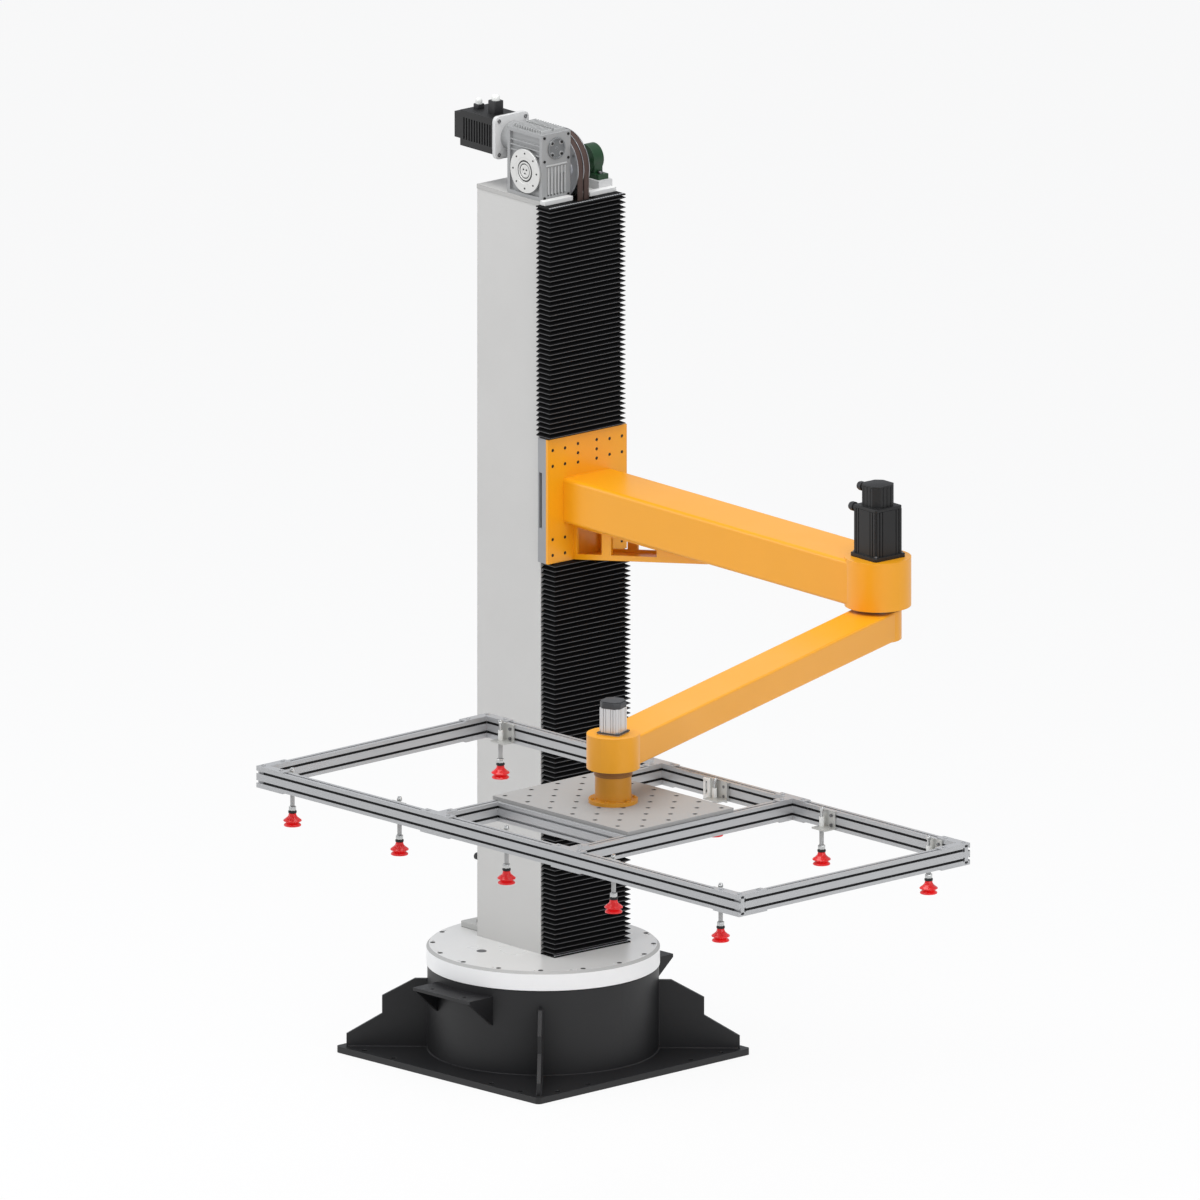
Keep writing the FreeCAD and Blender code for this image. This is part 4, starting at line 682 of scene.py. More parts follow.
# End plates of the bellows
# Each cover ends in a black sheet that is screwed to the column, notched for the belts. A row of
# bright rivets holds the cloth along its front edge; their brightness is painted highlight for the light
# caught along that edge.
NOTCH_HALF = 0.043
NOTCH_DEPTH = 0.042
painted_highlight_aluminium = finish("painted_highlight_aluminium", (205, 206, 208), 0.38, metallic=0.85, size=0.0012,
                          cloud=0.1, worn=(235, 235, 235), wear=0.4)
RIVET_COUNT = 32
RIVET_PITCH = 0.0093
RIVET_INSET = 0.006
rivet_shape = slab((-0.0025, -0.0034, 0), (0.0025, 0.0034, 0.0022), Matrix.Identity(4), 0.0004)
front_x = COLUMN_DEPTH / 2
notch_x = front_x + NOTCH_DEPTH
edge_x = front_x + BELLOWS_DEPTH
side = BELLOWS_WIDTH / 2
for title, shift, level in (("upper", -BELLOWS_OFFSET, upper_high), ("lower", BELLOWS_OFFSET, TABLE_TOP)):
    top = level + END_PLATE_THICK
    plate = blocks(f"{title}_bellows_plate", [
        ((front_x, shift - side, level), (notch_x, -NOTCH_HALF, top)),
        ((front_x, NOTCH_HALF, level), (notch_x, shift + side, top)),
        ((notch_x, shift - side, level), (edge_x, shift + side, top))], column_place, bellows_cloth, 0.0005)
    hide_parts("bellows_end_plates")
    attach(plate, "turntable")
    # The bright rivets are painted highlight along the front edge of each end plate.
    rivets = set_out(f"{title}_bellows_rivets",
                     [at_column(edge_x - 0.005, shift - side + RIVET_INSET + RIVET_PITCH * step, top)
                      for step in range(RIVET_COUNT)],
                     rivet_shape, painted_highlight_aluminium, (0.0, 0.0, COLUMN_TURN))
    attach(rivets, "turntable")

# Lift belts and pulleys
# Two brown flat belts run from the drive pulley at the head to the idler at the foot and carry the
# carriage. The pulleys are turned from aluminium and keyed to ground shafts.
belt_brown = finish("brown_belt", (70, 52, 46), 0.7, size=0.0007, cloud=0.2, bump=0.25,
                    worn=(105, 85, 76), radius=0.001)
dress(belt_brown, "lift_belts")
turned_aluminium = finish("turned_aluminium", (190, 191, 194), 0.3, metallic=1.0, cloud=0.1,
                          worn=(230, 230, 230), wear=0.4)
dress(turned_aluminium, "drive_pulley", "idler_pulley")

# Worm gearbox and its covers
# The housing is cast in aluminium and sprayed mid grey, and the casting skin shows through the paint.
# The output flange is turned bright, with a ring of cap screws. The worm's round cover is dark grey.
gearbox_paint = finish("gearbox_grey_paint", (158, 159, 159), 0.42, metallic=0.2, size=0.0025, cloud=0.25,
                       bump=0.35, worn=(190, 190, 190), wear=0.7, radius=0.0018)
dress(gearbox_paint, "lift_gearbox")
flange_metal = finish("turned_flange", (214, 214, 212), 0.3, metallic=0.8)
PULLEY_AXIS_X = 0.0775
GEARBOX_X = -0.0115
GEARBOX_LENGTH = 0.163
GEARBOX_SIDE = -0.1395
GEARBOX_WIDTH = 0.1155
GEARBOX_HEIGHT = 0.2096
SHOULDER_RISE = 0.125
HEAD_Z = column_high.z
WHEEL_RISE = 0.085
WORM_RISE = 0.161
COVER_SCREW_CIRCLE = 0.026
COVER_BOSS_HEIGHT = 0.003
CORNER_SCREW_INSET = 0.010
out_of_front = column_turn @ Matrix.Rotation(math.radians(90), 4, "Y")
facing_front = tuple(out_of_front.to_euler())
out_of_side = column_turn @ Matrix.Rotation(math.radians(90), 4, "X")
facing_side = tuple(out_of_side.to_euler())
gear_middle = GEARBOX_SIDE + GEARBOX_WIDTH / 2
gear_end = GEARBOX_X + GEARBOX_LENGTH
cover_ring = [(gear_middle + y, HEAD_Z + WORM_RISE + z) for y, z in circle(4, COVER_SCREW_CIRCLE, 45)]
boss_points = [at_column(gear_end, *spot) for spot in cover_ring]
end_points = [at_column(gear_end + COVER_BOSS_HEIGHT, *spot) for spot in cover_ring]
for side in (GEARBOX_SIDE + CORNER_SCREW_INSET, GEARBOX_SIDE + GEARBOX_WIDTH - CORNER_SCREW_INSET):
    for rise in (CORNER_SCREW_INSET, SHOULDER_RISE, GEARBOX_HEIGHT - CORNER_SCREW_INSET):
        end_points.append(at_column(gear_end, side, HEAD_Z + rise))
end_screws = set_out("gearbox_end_screws", end_points, socket_screw(0.0042, 0.003), black_oxide,
                     facing_front)
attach(end_screws, "turntable")
boss_outline = [(0, 0), (0.0085, 0), (0.0085, 0.0024), (0.0078, COVER_BOSS_HEIGHT), (0, COVER_BOSS_HEIGHT)]
cover_bosses = set_out("worm_cover_bosses", boss_points, lathe("cover_boss", boss_outline, 24),
                       gearbox_paint, facing_front)
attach(cover_bosses, "turntable")
cover_outline = [(0, 0), (0.034, 0), (0.034, 0.004), (0.033, 0.005), (0.0295, 0.005), (0.0285, 0.004),
                 (0.0285, 0.0015), (0.006, 0.0015), (0.005, 0.0028), (0, 0.0028)]
cover_place = Matrix.Translation(at_column(gear_end, gear_middle, HEAD_Z + WORM_RISE)) @ out_of_front
cover_paint = finish("cover_dark_grey", (112, 114, 115), 0.45, metallic=0.2, size=0.002, cloud=0.15,
                     bump=0.15, worn=(200, 200, 200), wear=0.9, radius=0.0016)
worm_cover = turned_piece("worm_shaft_cover", cover_outline, cover_place, cover_paint, 48, 25)
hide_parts("gearbox_covers")
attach(worm_cover, "turntable")
flange_outline = [(0, 0.0052), (0.0125, 0.0052), (0.0135, 0.0060), (0.0205, 0.0060), (0.0210, 0.0040),
                  (0.0235, 0.0040), (0.0240, 0.0066), (0.0290, 0.0066), (0.0295, 0.0035), (0.0335, 0.0035),
                  (0.0340, 0.0055), (0.0420, 0.0055), (0.0425, 0.0062), (0.0680, 0.0062), (0.0690, 0.0054),
                  (0.0690, 0.0), (0, 0.0)]
flange_place = Matrix.Translation(at_column(PULLEY_AXIS_X, GEARBOX_SIDE, HEAD_Z + WHEEL_RISE)) @ out_of_side
output_flange = turned_piece("output_flange", flange_outline, flange_place, flange_metal, 64, 25)
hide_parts("gearbox_covers")
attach(output_flange, "turntable")
seal_rubber = finish("shaft_seal_rubber", (24, 25, 26), 0.55, bump=0.1)
for name, inner, outer in (("inner_seal", 0.0211, 0.0234), ("outer_seal", 0.0297, 0.0333)):
    ring = [(inner, 0.0036), (outer, 0.0036), (outer, 0.0048), (inner, 0.0048), (inner, 0.0036)]
    seal = turned_piece(name, ring, flange_place, seal_rubber)
    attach(seal, "turntable")
FLANGE_SCREW_CIRCLE = 0.0552
FLANGE_PLATE_HEIGHT = 0.0062
SHAFT_SCREW_CIRCLE = 0.008
SHAFT_PLATE_HEIGHT = 0.0052
flange_points = [at_column(PULLEY_AXIS_X + x, GEARBOX_SIDE - FLANGE_PLATE_HEIGHT, HEAD_Z + WHEEL_RISE + z)
                 for x, z in circle(8, FLANGE_SCREW_CIRCLE)]
flange_points += [at_column(PULLEY_AXIS_X + x, GEARBOX_SIDE - SHAFT_PLATE_HEIGHT, HEAD_Z + WHEEL_RISE + z)
                  for x, z in circle(3, SHAFT_SCREW_CIRCLE, 30)]
flange_screws = set_out("output_flange_screws", flange_points, socket_screw(0.0028, 0.001), black_oxide,
                        facing_side)
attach(flange_screws, "turntable")

# Ribs of the gearbox and its front pads
# The casting has two rows of cooling ribs on top and a panel of upright ribs on its end. Two machined
# white pads on the front edge of the column top carry the ends of the drive.
RIB_THICK = 0.0034
RIB_PITCH = 0.0118
RIB_START = GEARBOX_X + 0.014
TOP_RIB_ROWS = ((GEARBOX_SIDE + 0.012, gear_middle - 0.005), (gear_middle + 0.005, gear_middle + 0.0455))
TOP_RIB_LOW = HEAD_Z + 0.2040
TOP_RIB_HIGH = HEAD_Z + 0.2190
END_RIB_WIDTH = 0.0045
END_RIB_PITCH = 0.0132
END_RIB_START = GEARBOX_SIDE + 0.0225
END_RIB_LOW = HEAD_Z + 0.020
END_RIB_HIGH = HEAD_Z + 0.104
END_RIB_ROOT = 0.007
RIB_PROUD = 0.0035
BAND_INSET = 0.016
ribs = []
for step in range(12):
    x = RIB_START + step * RIB_PITCH
    for y_low, y_high in TOP_RIB_ROWS:
        ribs.append(((x, y_low, TOP_RIB_LOW), (x + RIB_THICK, y_high, TOP_RIB_HIGH)))
for step in range(6):
    y = END_RIB_START + step * END_RIB_PITCH
    ribs.append(((gear_end - END_RIB_ROOT, y, END_RIB_LOW),
                 (gear_end + RIB_PROUD, y + END_RIB_WIDTH, END_RIB_HIGH)))
ribs.append(((gear_end - 0.002, GEARBOX_SIDE + BAND_INSET, HEAD_Z + 0.108),
             (gear_end + RIB_PROUD, GEARBOX_SIDE + GEARBOX_WIDTH - BAND_INSET, HEAD_Z + 0.113)))
rib_paint = finish("rib_pale_paint", (186, 187, 186), 0.42, metallic=0.1, size=0.002, cloud=0.15,
                   bump=0.2, worn=(215, 215, 215))
gearbox_ribs = blocks("gearbox_cooling_ribs", ribs, column_place, rib_paint, 0.0008)
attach(gearbox_ribs, "turntable")
PAD_BACK = 0.1519
PAD_FRONT = 0.1745
PAD_GAP_HALF = 0.034
PAD_TOP = HEAD_Z + 0.007
pad_white = finish("pad_white_paint", (226, 226, 224), 0.4, size=0.0015, cloud=0.06)
front_pads = blocks("drive_front_pads", [
    ((PAD_BACK, -0.147, UPPER_END), (PAD_FRONT, -PAD_GAP_HALF, PAD_TOP)),
    ((PAD_BACK, PAD_GAP_HALF, UPPER_END), (PAD_FRONT, 0.140, PAD_TOP))], column_place, pad_white, 0.001)
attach(front_pads, "turntable")

# Lift motor, its adapter plate and its plugs
# A square servo motor in black anodised aluminium with cooling grooves lies behind the gearbox on a
# cast adapter plate. Two moulded plugs stand on top, each closed by a pale cap.
black_anodised = finish("black_anodised", (9, 9, 10), 0.55, size=0.0012, cloud=0.15, bump=0.1,
                        worn=(70, 70, 72), radius=0.0012)
dress(black_anodised, "lift_motor")
ADAPTER_HALF = 0.067
ADAPTER_THICK = 0.015
ADAPTER_SCREW_SPREAD = 0.053
ADAPTER_SCREW_SINK = 0.0035
NECK_LENGTH = 0.045
MOTOR_LENGTH = 0.165
MOTOR_HALF = 0.056
adapter_paint = finish("adapter_pale_paint", (204, 204, 203), 0.42, size=0.002, cloud=0.1, bump=0.15,
                       worn=(150, 150, 150), wear=0.4)


def rounded_square(half, radius, steps=6):
    """The corner points of a square with round corners."""
    points = []
    for quarter in range(4):
        for step in range(steps + 1):
            angle = math.radians(90 * quarter + 90 * step / steps)
            middle = Vector(((half - radius), (half - radius)))
            middle.rotate(Matrix.Rotation(math.radians(90 * quarter), 2))
            points.append((middle.x + radius * math.cos(angle), middle.y + radius * math.sin(angle)))
    return points


def prism(outline, low_z, high_z, place, edge=0.001):
    """A straight extrusion of an outline with its end edges broken."""
    def build(work):
        low_ring = [work.verts.new((x, y, low_z)) for x, y in outline]
        high_ring = [work.verts.new((x, y, high_z)) for x, y in outline]
        for i in range(len(outline)):
            j = (i + 1) % len(outline)
            work.faces.new((low_ring[i], low_ring[j], high_ring[j], high_ring[i]))
        caps = [work.faces.new(low_ring[::-1]), work.faces.new(high_ring)]
        if edge:
            rims = list({border for cap in caps for border in cap.edges})
            bmesh.ops.bevel(work, geom=rims, offset=edge, segments=2, profile=0.5, affect="EDGES")
    return turn_mesh(shape_of("prism", build), place)


adapter_face = GEARBOX_X - NECK_LENGTH
adapter_place = Matrix.Translation(at_column(adapter_face, gear_middle, HEAD_Z + WORM_RISE)) @ out_of_front
adapter_shape = prism(rounded_square(ADAPTER_HALF, 0.014), -ADAPTER_THICK, 0.0, adapter_place, 0.002)
adapter = smooth(new_piece("motor_adapter_plate", adapter_shape, adapter_paint))
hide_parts("motor_adapter")
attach(adapter, "turntable")
MOTOR_BACK = adapter_face - ADAPTER_THICK - MOTOR_LENGTH
MOTOR_TOP = HEAD_Z + WORM_RISE + MOTOR_HALF
pale_cap = finish("pale_plug_cap", (225, 226, 222), 0.35, size=0.001)
plug_boxes = []
cap_meshes = []
for share, half, rise, cap_radius in ((0.62, 0.0175, 0.040, 0.0130), (0.14, 0.013, 0.014, 0.0105)):
    plug_foot = at_column(MOTOR_BACK + MOTOR_LENGTH * share, gear_middle, MOTOR_TOP)
    plug_place = Matrix.Translation(plug_foot) @ column_turn
    plug_boxes.append(prism(rounded_square(half, 0.004), 0.0, rise, plug_place, 0.0015))
    dome = [(0, 0), (cap_radius, 0), (cap_radius, 0.007), (cap_radius * 0.94, 0.012),
            (cap_radius * 0.7, 0.0165), (cap_radius * 0.35, 0.0190), (0, 0.0198)]
    cap_meshes.append(turn_mesh(lathe("plug_cap", dome, 32), plug_place @ Matrix.Translation((0, 0, rise))))
plugs = smooth(joined("lift_motor_plugs", plug_boxes, black_plastic))
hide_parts("motor_plugs")
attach(plugs, "turntable")
plug_caps = smooth(joined("lift_motor_plug_caps", cap_meshes, pale_cap))
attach(plug_caps, "turntable")
adapter_points = [at_column(adapter_face - ADAPTER_SCREW_SINK, gear_middle + y_sign * ADAPTER_SCREW_SPREAD,
                            HEAD_Z + WORM_RISE + z_sign * ADAPTER_SCREW_SPREAD)
                  for y_sign in (1, -1) for z_sign in (1, -1)]
adapter_screws = set_out("adapter_screws", adapter_points, socket_screw(0.0062, 0.006), screw_steel,
                         facing_front)
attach(adapter_screws, "turntable")

# Pillow block and riser
# The far end of the drive shaft runs in a cast pillow block, sprayed dark green, that is bolted
# down through a grey riser.
green_paint = finish("green_casting_paint", (14, 56, 26), 0.4, size=0.0025, cloud=0.2, bump=0.3,
                     worn=(60, 95, 66), wear=0.6, radius=0.002)
dress(green_paint, "pillow_block")
dress(adapter_paint, "bearing_riser")
BEARING_Y = 0.1155
BEARING_X = PULLEY_AXIS_X - 0.010
BEARING_BOLT_REACH = 0.060
RISER_HEIGHT = 0.028
BEARING_FOOT = 0.016
foot_points = [at_column(BEARING_X + side * BEARING_BOLT_REACH, BEARING_Y,
                         HEAD_Z + RISER_HEIGHT + BEARING_FOOT) for side in (1, -1)]
bearing_bolts = set_out("pillow_block_bolts", foot_points, socket_screw(0.008, 0.008), screw_steel)
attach(bearing_bolts, "turntable")

# Carriage
# The channel behind is painted mid grey. Its front plate is thick, powder-coated orange, and fastened
# by rows of cap screws along both sides and above the arm.
ORANGE = (241, 163, 8)
orange_coat = finish("orange_powder_coat", ORANGE, 0.4, size=0.0016, cloud=0.07, bump=0.12,
                     worn=(247, 192, 90), wear=0.45, radius=0.002, coat=0.2)
channel_paint = finish("channel_grey_paint", (150, 151, 153), 0.5, size=0.002, cloud=0.15, bump=0.1,
                       worn=(200, 200, 200))
dress(channel_paint, "carriage_channel", "belt_clamp")
dress(orange_coat, "carriage_plate", "main_arm", "arm_bracket", "forearm")
dark_screw = finish("black_oxide_screw", (52, 46, 38), 0.45, metallic=0.6)
dress(dark_screw, "carriage_screws")

# Elbow drive
# The square servo motor stands on the boss of the main arm, black, with deep grooves and an
# eight-sided encoder housing on top. Four cap screws hold its flange to the boss.
dress(race_steel, "elbow_reducer", "wrist_reducer", "elbow_hub")
joints = {joint["name"]: joint for joint in frame["joints"]}
elbow = Vector(joints["elbow_turn"]["pos_m"])
wrist = Vector(joints["wrist_turn"]["pos_m"])
BOSS_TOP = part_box("main_arm")[1].z
ELBOW_FLANGE = 0.121
FLANGE_THICK = 0.012
BODY_HALF = 0.0545
BODY_HEIGHT = 0.151
ENCODER_HALF = 0.0432
ENCODER_HEIGHT = 0.067


def beside(axis, turned, x, y, z):
    """A point in a frame that is turned about Z round an axis, at a height."""
    return Vector((axis.x + x * math.cos(turned) - y * math.sin(turned),
                   axis.y + x * math.sin(turned) + y * math.cos(turned), z))


def at_elbow(x, y, z):
    """A point along and across the main arm from the elbow axis, at a height."""
    return beside(elbow, COLUMN_TURN, x, y, z)


def grooved_square(half, corner, hollow, grooves, depth):
    """The outline of a motor body: cut corners, each with a hollow, and grooves along its faces."""
    points = []
    for quarter in range(4):
        side = [(half, -half + corner)]
        for centre, width in grooves:
            side += [(half, centre - width / 2), (half - depth, centre - width / 2),
                     (half - depth, centre + width / 2), (half, centre + width / 2)]
        side.append((half, half - corner))
        if hollow:
            side += [(half - hollow, half - corner), (half - corner, half - hollow)]
        turn_here = math.radians(90 * quarter)
        for x, y in side:
            points.append((x * math.cos(turn_here) - y * math.sin(turn_here),
                           x * math.sin(turn_here) + y * math.cos(turn_here)))
    return points


elbow_place = Matrix.Translation(at_elbow(0, 0, BOSS_TOP)) @ column_turn
body_grooves = ((-0.0385, 0.0035), (-0.0270, 0.0030), (0.0270, 0.0030), (0.0385, 0.0035))
LID_THICK = 0.006
CAP_HEIGHT = 0.010
ENCODER_CUT = 0.019
encoder_grooves = ((-0.015, 0.002), (0.0, 0.002), (0.015, 0.002))
body_top = FLANGE_THICK + BODY_HEIGHT
encoder_top = body_top + ENCODER_HEIGHT
motor_parts = [prism(outline, low, high, elbow_place, edge) for outline, low, high, edge in (
    (rounded_square(ELBOW_FLANGE / 2, 0.006), 0.0, FLANGE_THICK, 0.001),
    (grooved_square(BODY_HALF, 0.006, 0.004, body_grooves, 0.005), FLANGE_THICK, body_top - CAP_HEIGHT, 0),
    (grooved_square(BODY_HALF - 0.0005, 0.006, 0, (), 0), body_top - CAP_HEIGHT, body_top, 0.0015),
    (grooved_square(ENCODER_HALF, ENCODER_CUT, 0, encoder_grooves, 0.003), body_top,
     encoder_top - LID_THICK, 0),
    (grooved_square(ENCODER_HALF, ENCODER_CUT, 0, (), 0), encoder_top - LID_THICK, encoder_top, 0.0015))]
elbow_motor = smooth(joined("elbow_servo_motor", motor_parts, black_anodised), 25)
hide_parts("elbow_motor")
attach(elbow_motor, "carriage")
corner = ELBOW_FLANGE / 2 - 0.009
flange_corners = [at_elbow(a * corner, b * corner, BOSS_TOP + FLANGE_THICK)
                  for a in (1, -1) for b in (1, -1)]
elbow_screws = set_out("elbow_flange_screws", flange_corners, socket_screw(0.0045, 0.005), screw_steel)
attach(elbow_screws, "carriage")

# Connectors of the elbow motor
# Two round plug sockets of black plastic point back along the arm, one from the motor body and one
# from the encoder. Each has a wide ring and a screwed cap.
plug_outline = [(0, 0), (0.0105, 0), (0.0105, 0.009), (0.0145, 0.0105), (0.0145, 0.0225), (0.0125, 0.0245),
                (0.0125, 0.029), (0.0115, 0.030), (0, 0.030)]
plug_meshes = []
for x, y, z in ((-BODY_HALF, -0.036, BOSS_TOP + body_top - 0.013),
                (-ENCODER_HALF, -0.012, BOSS_TOP + encoder_top - 0.018)):
    plug_meshes.append(turn_mesh(lathe("plug_socket", plug_outline, 24),
                                 Matrix.Translation(at_elbow(x, y, z)) @ backwards))
plug_sockets = smooth(joined("elbow_plug_sockets", plug_meshes, black_plastic))
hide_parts("elbow_connectors")
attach(plug_sockets, "carriage")

# Forearm drive
# The wrist motor is a small square servo in bare extruded aluminium under a dark moulded lid. Its
# spindle below is turned steel in orange paint, darkened with painted shade, and ends in a bolted flange.
FOREARM_TURN = math.radians(-71.0)
CAN_HALF = 0.034
SEAT_TOP = 0.003
GASKET_TOP = 0.0065
CAN_TOP = 0.083
LID_TOP = 0.105
LID_STEP = 0.004
bright_motor = finish("extruded_motor_body", (214, 213, 213), 0.3, metallic=0.7, size=0.0015, bump=0.06,
                      worn=(240, 240, 240), stretch=(1.0, 1.0, 0.03))
lid_plastic = finish("grey_motor_lid", (58, 59, 61), 0.5, bump=0.12)
wrist_foot = Matrix.Translation((wrist.x, wrist.y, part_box("wrist_motor")[0].z))
wrist_place = wrist_foot @ Matrix.Rotation(FOREARM_TURN, 4, "Z")
can_grooves = ((-0.0165, 0.0022), (-0.0085, 0.0014), (0.0085, 0.0014), (0.0165, 0.0022))
can_outline = grooved_square(CAN_HALF, 0.009, 0.005, can_grooves, 0.0035)
for name, outline, low, high, edge, coat, angle in (
        ("wrist_seat_plate", rounded_square(0.036, 0.004), 0.0, SEAT_TOP, 0.0005, bright_motor, 35),
        ("wrist_motor_gasket", rounded_square(0.0385, 0.004), SEAT_TOP, GASKET_TOP, 0.0005, lid_plastic, 35),
        ("wrist_motor_can", can_outline, GASKET_TOP, CAN_TOP, 0, bright_motor, 25)):
    piece = smooth(new_piece(name, prism(outline, low, high, wrist_place, edge), coat), angle)
    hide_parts("wrist_motor")
    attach(piece, "forearm")
lid_ring = grooved_square(0.0355, 0.016, 0, (), 0)
lid_top = grooved_square(0.0335, 0.0155, 0, (), 0)
wrist_lid = smooth(joined("wrist_motor_lid", [
    prism(lid_ring, CAN_TOP, LID_TOP - LID_STEP, wrist_place, 0.001),
    prism(lid_top, LID_TOP - LID_STEP, LID_TOP, wrist_place, 0.0015)], lid_plastic), 25)
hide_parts("wrist_motor_cap")
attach(wrist_lid, "forearm")
# The spindle's orange is darker than the arm's; the darkening is painted shade.
spindle_painted_shade_orange = finish("spindle_orange_painted_shade", (206, 138, 14), 0.38, size=0.0016, cloud=0.1, bump=0.08,
                      worn=(232, 180, 96), wear=0.4, coat=0.2)
dress(spindle_painted_shade_orange, "wrist_spindle")
TOOL_TURN = math.radians(-1.0)
TOOL_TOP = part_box("tool_plate")[1].z
FOREARM_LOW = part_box("forearm")[0].z


def at_tool(a, b, z):
    """A point in the vacuum frame's own frame: a along it, b across it, from the wrist axis."""
    return beside(wrist, TOOL_TURN, a, b, z)


SPINDLE_SCREW_CIRCLE = 0.066
SPINDLE_FLANGE = 0.012
spindle_points = [at_tool(a, b, TOOL_TOP + SPINDLE_FLANGE) for a, b in circle(6, SPINDLE_SCREW_CIRCLE)]
spindle_screws = set_out("spindle_screws", spindle_points, socket_screw(0.0055, 0.004), spindle_painted_shade_orange)
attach(spindle_screws, "tool_frame")
BAND_DROP = 0.0226
# A dark brown band rings the spindle just under the forearm; its dark brown is painted shade.
neck_painted_shade = finish("neck_band_painted_shade", (142, 92, 26), 0.4, size=0.0012, cloud=0.12, bump=0.06,
                    worn=(190, 140, 70), wear=0.4)
band_outline = [(0.0540, 0.0), (0.0590, 0.0), (0.0596, 0.0012), (0.0596, 0.0080), (0.0588, 0.0086),
                (0.0588, 0.0100), (0.0596, 0.0106), (0.0596, 0.0200), (0.0590, 0.0214), (0.0540, 0.0214),
                (0.0540, 0.0)]
band_place = Matrix.Translation((wrist.x, wrist.y, FOREARM_LOW - BAND_DROP))
neck_band = turned_piece("spindle_neck_band", band_outline, band_place, neck_painted_shade, 64, 25)
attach(neck_band, "tool_frame")

# Vacuum frame
# Slotted aluminium profile, clear anodised to a dull silver. The tool plate is milled aluminium and
# has thread inserts in its holes. Flat plates with button screws join the bars above and below.
profile_metal = finish("anodised_profile", (186, 187, 188), 0.42, metallic=0.55, size=0.0012, cloud=0.1,
                       worn=(225, 225, 225), wear=0.35, radius=0.0008)
dress(profile_metal, "outer_rails", "inner_bars", "joining_plates")
plate_metal = finish("milled_tool_plate", (168, 167, 165), 0.55, metallic=0.2, size=0.0015, cloud=0.12,
                     bump=0.06, worn=(205, 205, 205), wear=0.4, radius=0.001, shine=0.35)
tool_place = Matrix.Translation((wrist.x, wrist.y, 0)) @ Matrix.Rotation(TOOL_TURN, 4, "Z")
PLATE_LENGTH = 0.610
PLATE_WIDTH = 0.440
PLATE_THICK = 0.012
HOLE_COLUMNS = 12
HOLE_ROWS = 8
HOLE_RADIUS = 0.0082
step_a = PLATE_LENGTH / HOLE_COLUMNS
step_b = PLATE_WIDTH / HOLE_ROWS
cells = [((line + 0.5) * step_a - PLATE_LENGTH / 2, (row + 0.5) * step_b - PLATE_WIDTH / 2,
          (line + row) % 2 == 0) for line in range(HOLE_COLUMNS) for row in range(HOLE_ROWS)]


def holed_sheet(work):
    """A flat sheet in cells, with a round hole in every other cell."""
    rim = 16
    for middle_a, middle_b, holed in cells:
        outer = []
        for x, y in circle(rim, 1.0):
            reach = 1 / max(abs(x), abs(y))
            outer.append(work.verts.new((middle_a + reach * x * step_a / 2,
                                         middle_b + reach * y * step_b / 2, TOOL_TOP)))
        if not holed:
            work.faces.new(outer)
            continue
        ring = [work.verts.new((middle_a + x, middle_b + y, TOOL_TOP)) for x, y in circle(rim, HOLE_RADIUS)]
        for i in range(rim):
            j = (i + 1) % rim
            work.faces.new((outer[i], outer[j], ring[j], ring[i]))
    bmesh.ops.remove_doubles(work, verts=work.verts, dist=0.0001)


sheet_piece = new_piece("tool_sheet", shape_of("tool_sheet", holed_sheet), plate_metal)
wall = sheet_piece.modifiers.new("plate", "SOLIDIFY")
wall.thickness = PLATE_THICK
wall.offset = -1.0
perforated_plate = new_piece("perforated_tool_plate", turn_mesh(settled(sheet_piece), tool_place),
                             plate_metal)
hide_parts("tool_plate")
insert_outline = [(0.0054, -0.0100), (0.0080, -0.0100), (0.0080, -0.0008), (0.0077, -0.0005),
                  (0.0057, -0.0005), (0.0054, -0.0008), (0.0054, -0.0100)]
insert_zinc = finish("insert_dull_zinc", (92, 92, 91), 0.5, metallic=0.3)
insert_points = [at_tool(middle_a, middle_b, TOOL_TOP) for middle_a, middle_b, holed in cells if holed]
insert_shape = lathe("thread_insert", insert_outline, 16)
inserts = smooth(set_out("tool_plate_inserts", insert_points, insert_shape, insert_zinc))
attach(inserts, "tool_frame")
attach(perforated_plate, "tool_frame")
FRAME_LENGTH = 2.178
FRAME_WIDTH = 0.962
PROFILE_HALF = 0.015
CORNER_REACH = 0.080
TEE_REACH = 0.045
BAR_SHIFT = 0.010
BAR_SPREAD = 0.295
BUTTON_RADIUS = 0.0065
BUTTON_HEIGHT = 0.0035
CROSS_BARS = (BAR_SHIFT + BAR_SPREAD, BAR_SHIFT - BAR_SPREAD)
rail_a = FRAME_LENGTH / 2 - PROFILE_HALF
rail_b = FRAME_WIDTH / 2 - PROFILE_HALF
joint_points = []
for a_sign in (1, -1):
    for b_sign in (1, -1):
        joint_points += [(a_sign * rail_a, b_sign * rail_b),
                         (a_sign * (rail_a - CORNER_REACH), b_sign * rail_b),
                         (a_sign * rail_a, b_sign * (rail_b - CORNER_REACH))]
for bar in CROSS_BARS:
    for b_sign in (1, -1):
        joint_points += [(bar - TEE_REACH, b_sign * rail_b), (bar + TEE_REACH, b_sign * rail_b),
                         (bar, b_sign * (rail_b - TEE_REACH))]
joiner_low, joiner_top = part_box("joining_plates")
for name, level, flip in (("joiner_screws_top", joiner_top.z, 0.0),
                          ("joiner_screws_under", joiner_low.z, math.pi)):
    screws = set_out(name, [at_tool(a, b, level) for a, b in joint_points],
                     socket_screw(BUTTON_RADIUS, BUTTON_HEIGHT), profile_metal, (flip, 0.0, 0.0))
    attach(screws, "tool_frame")

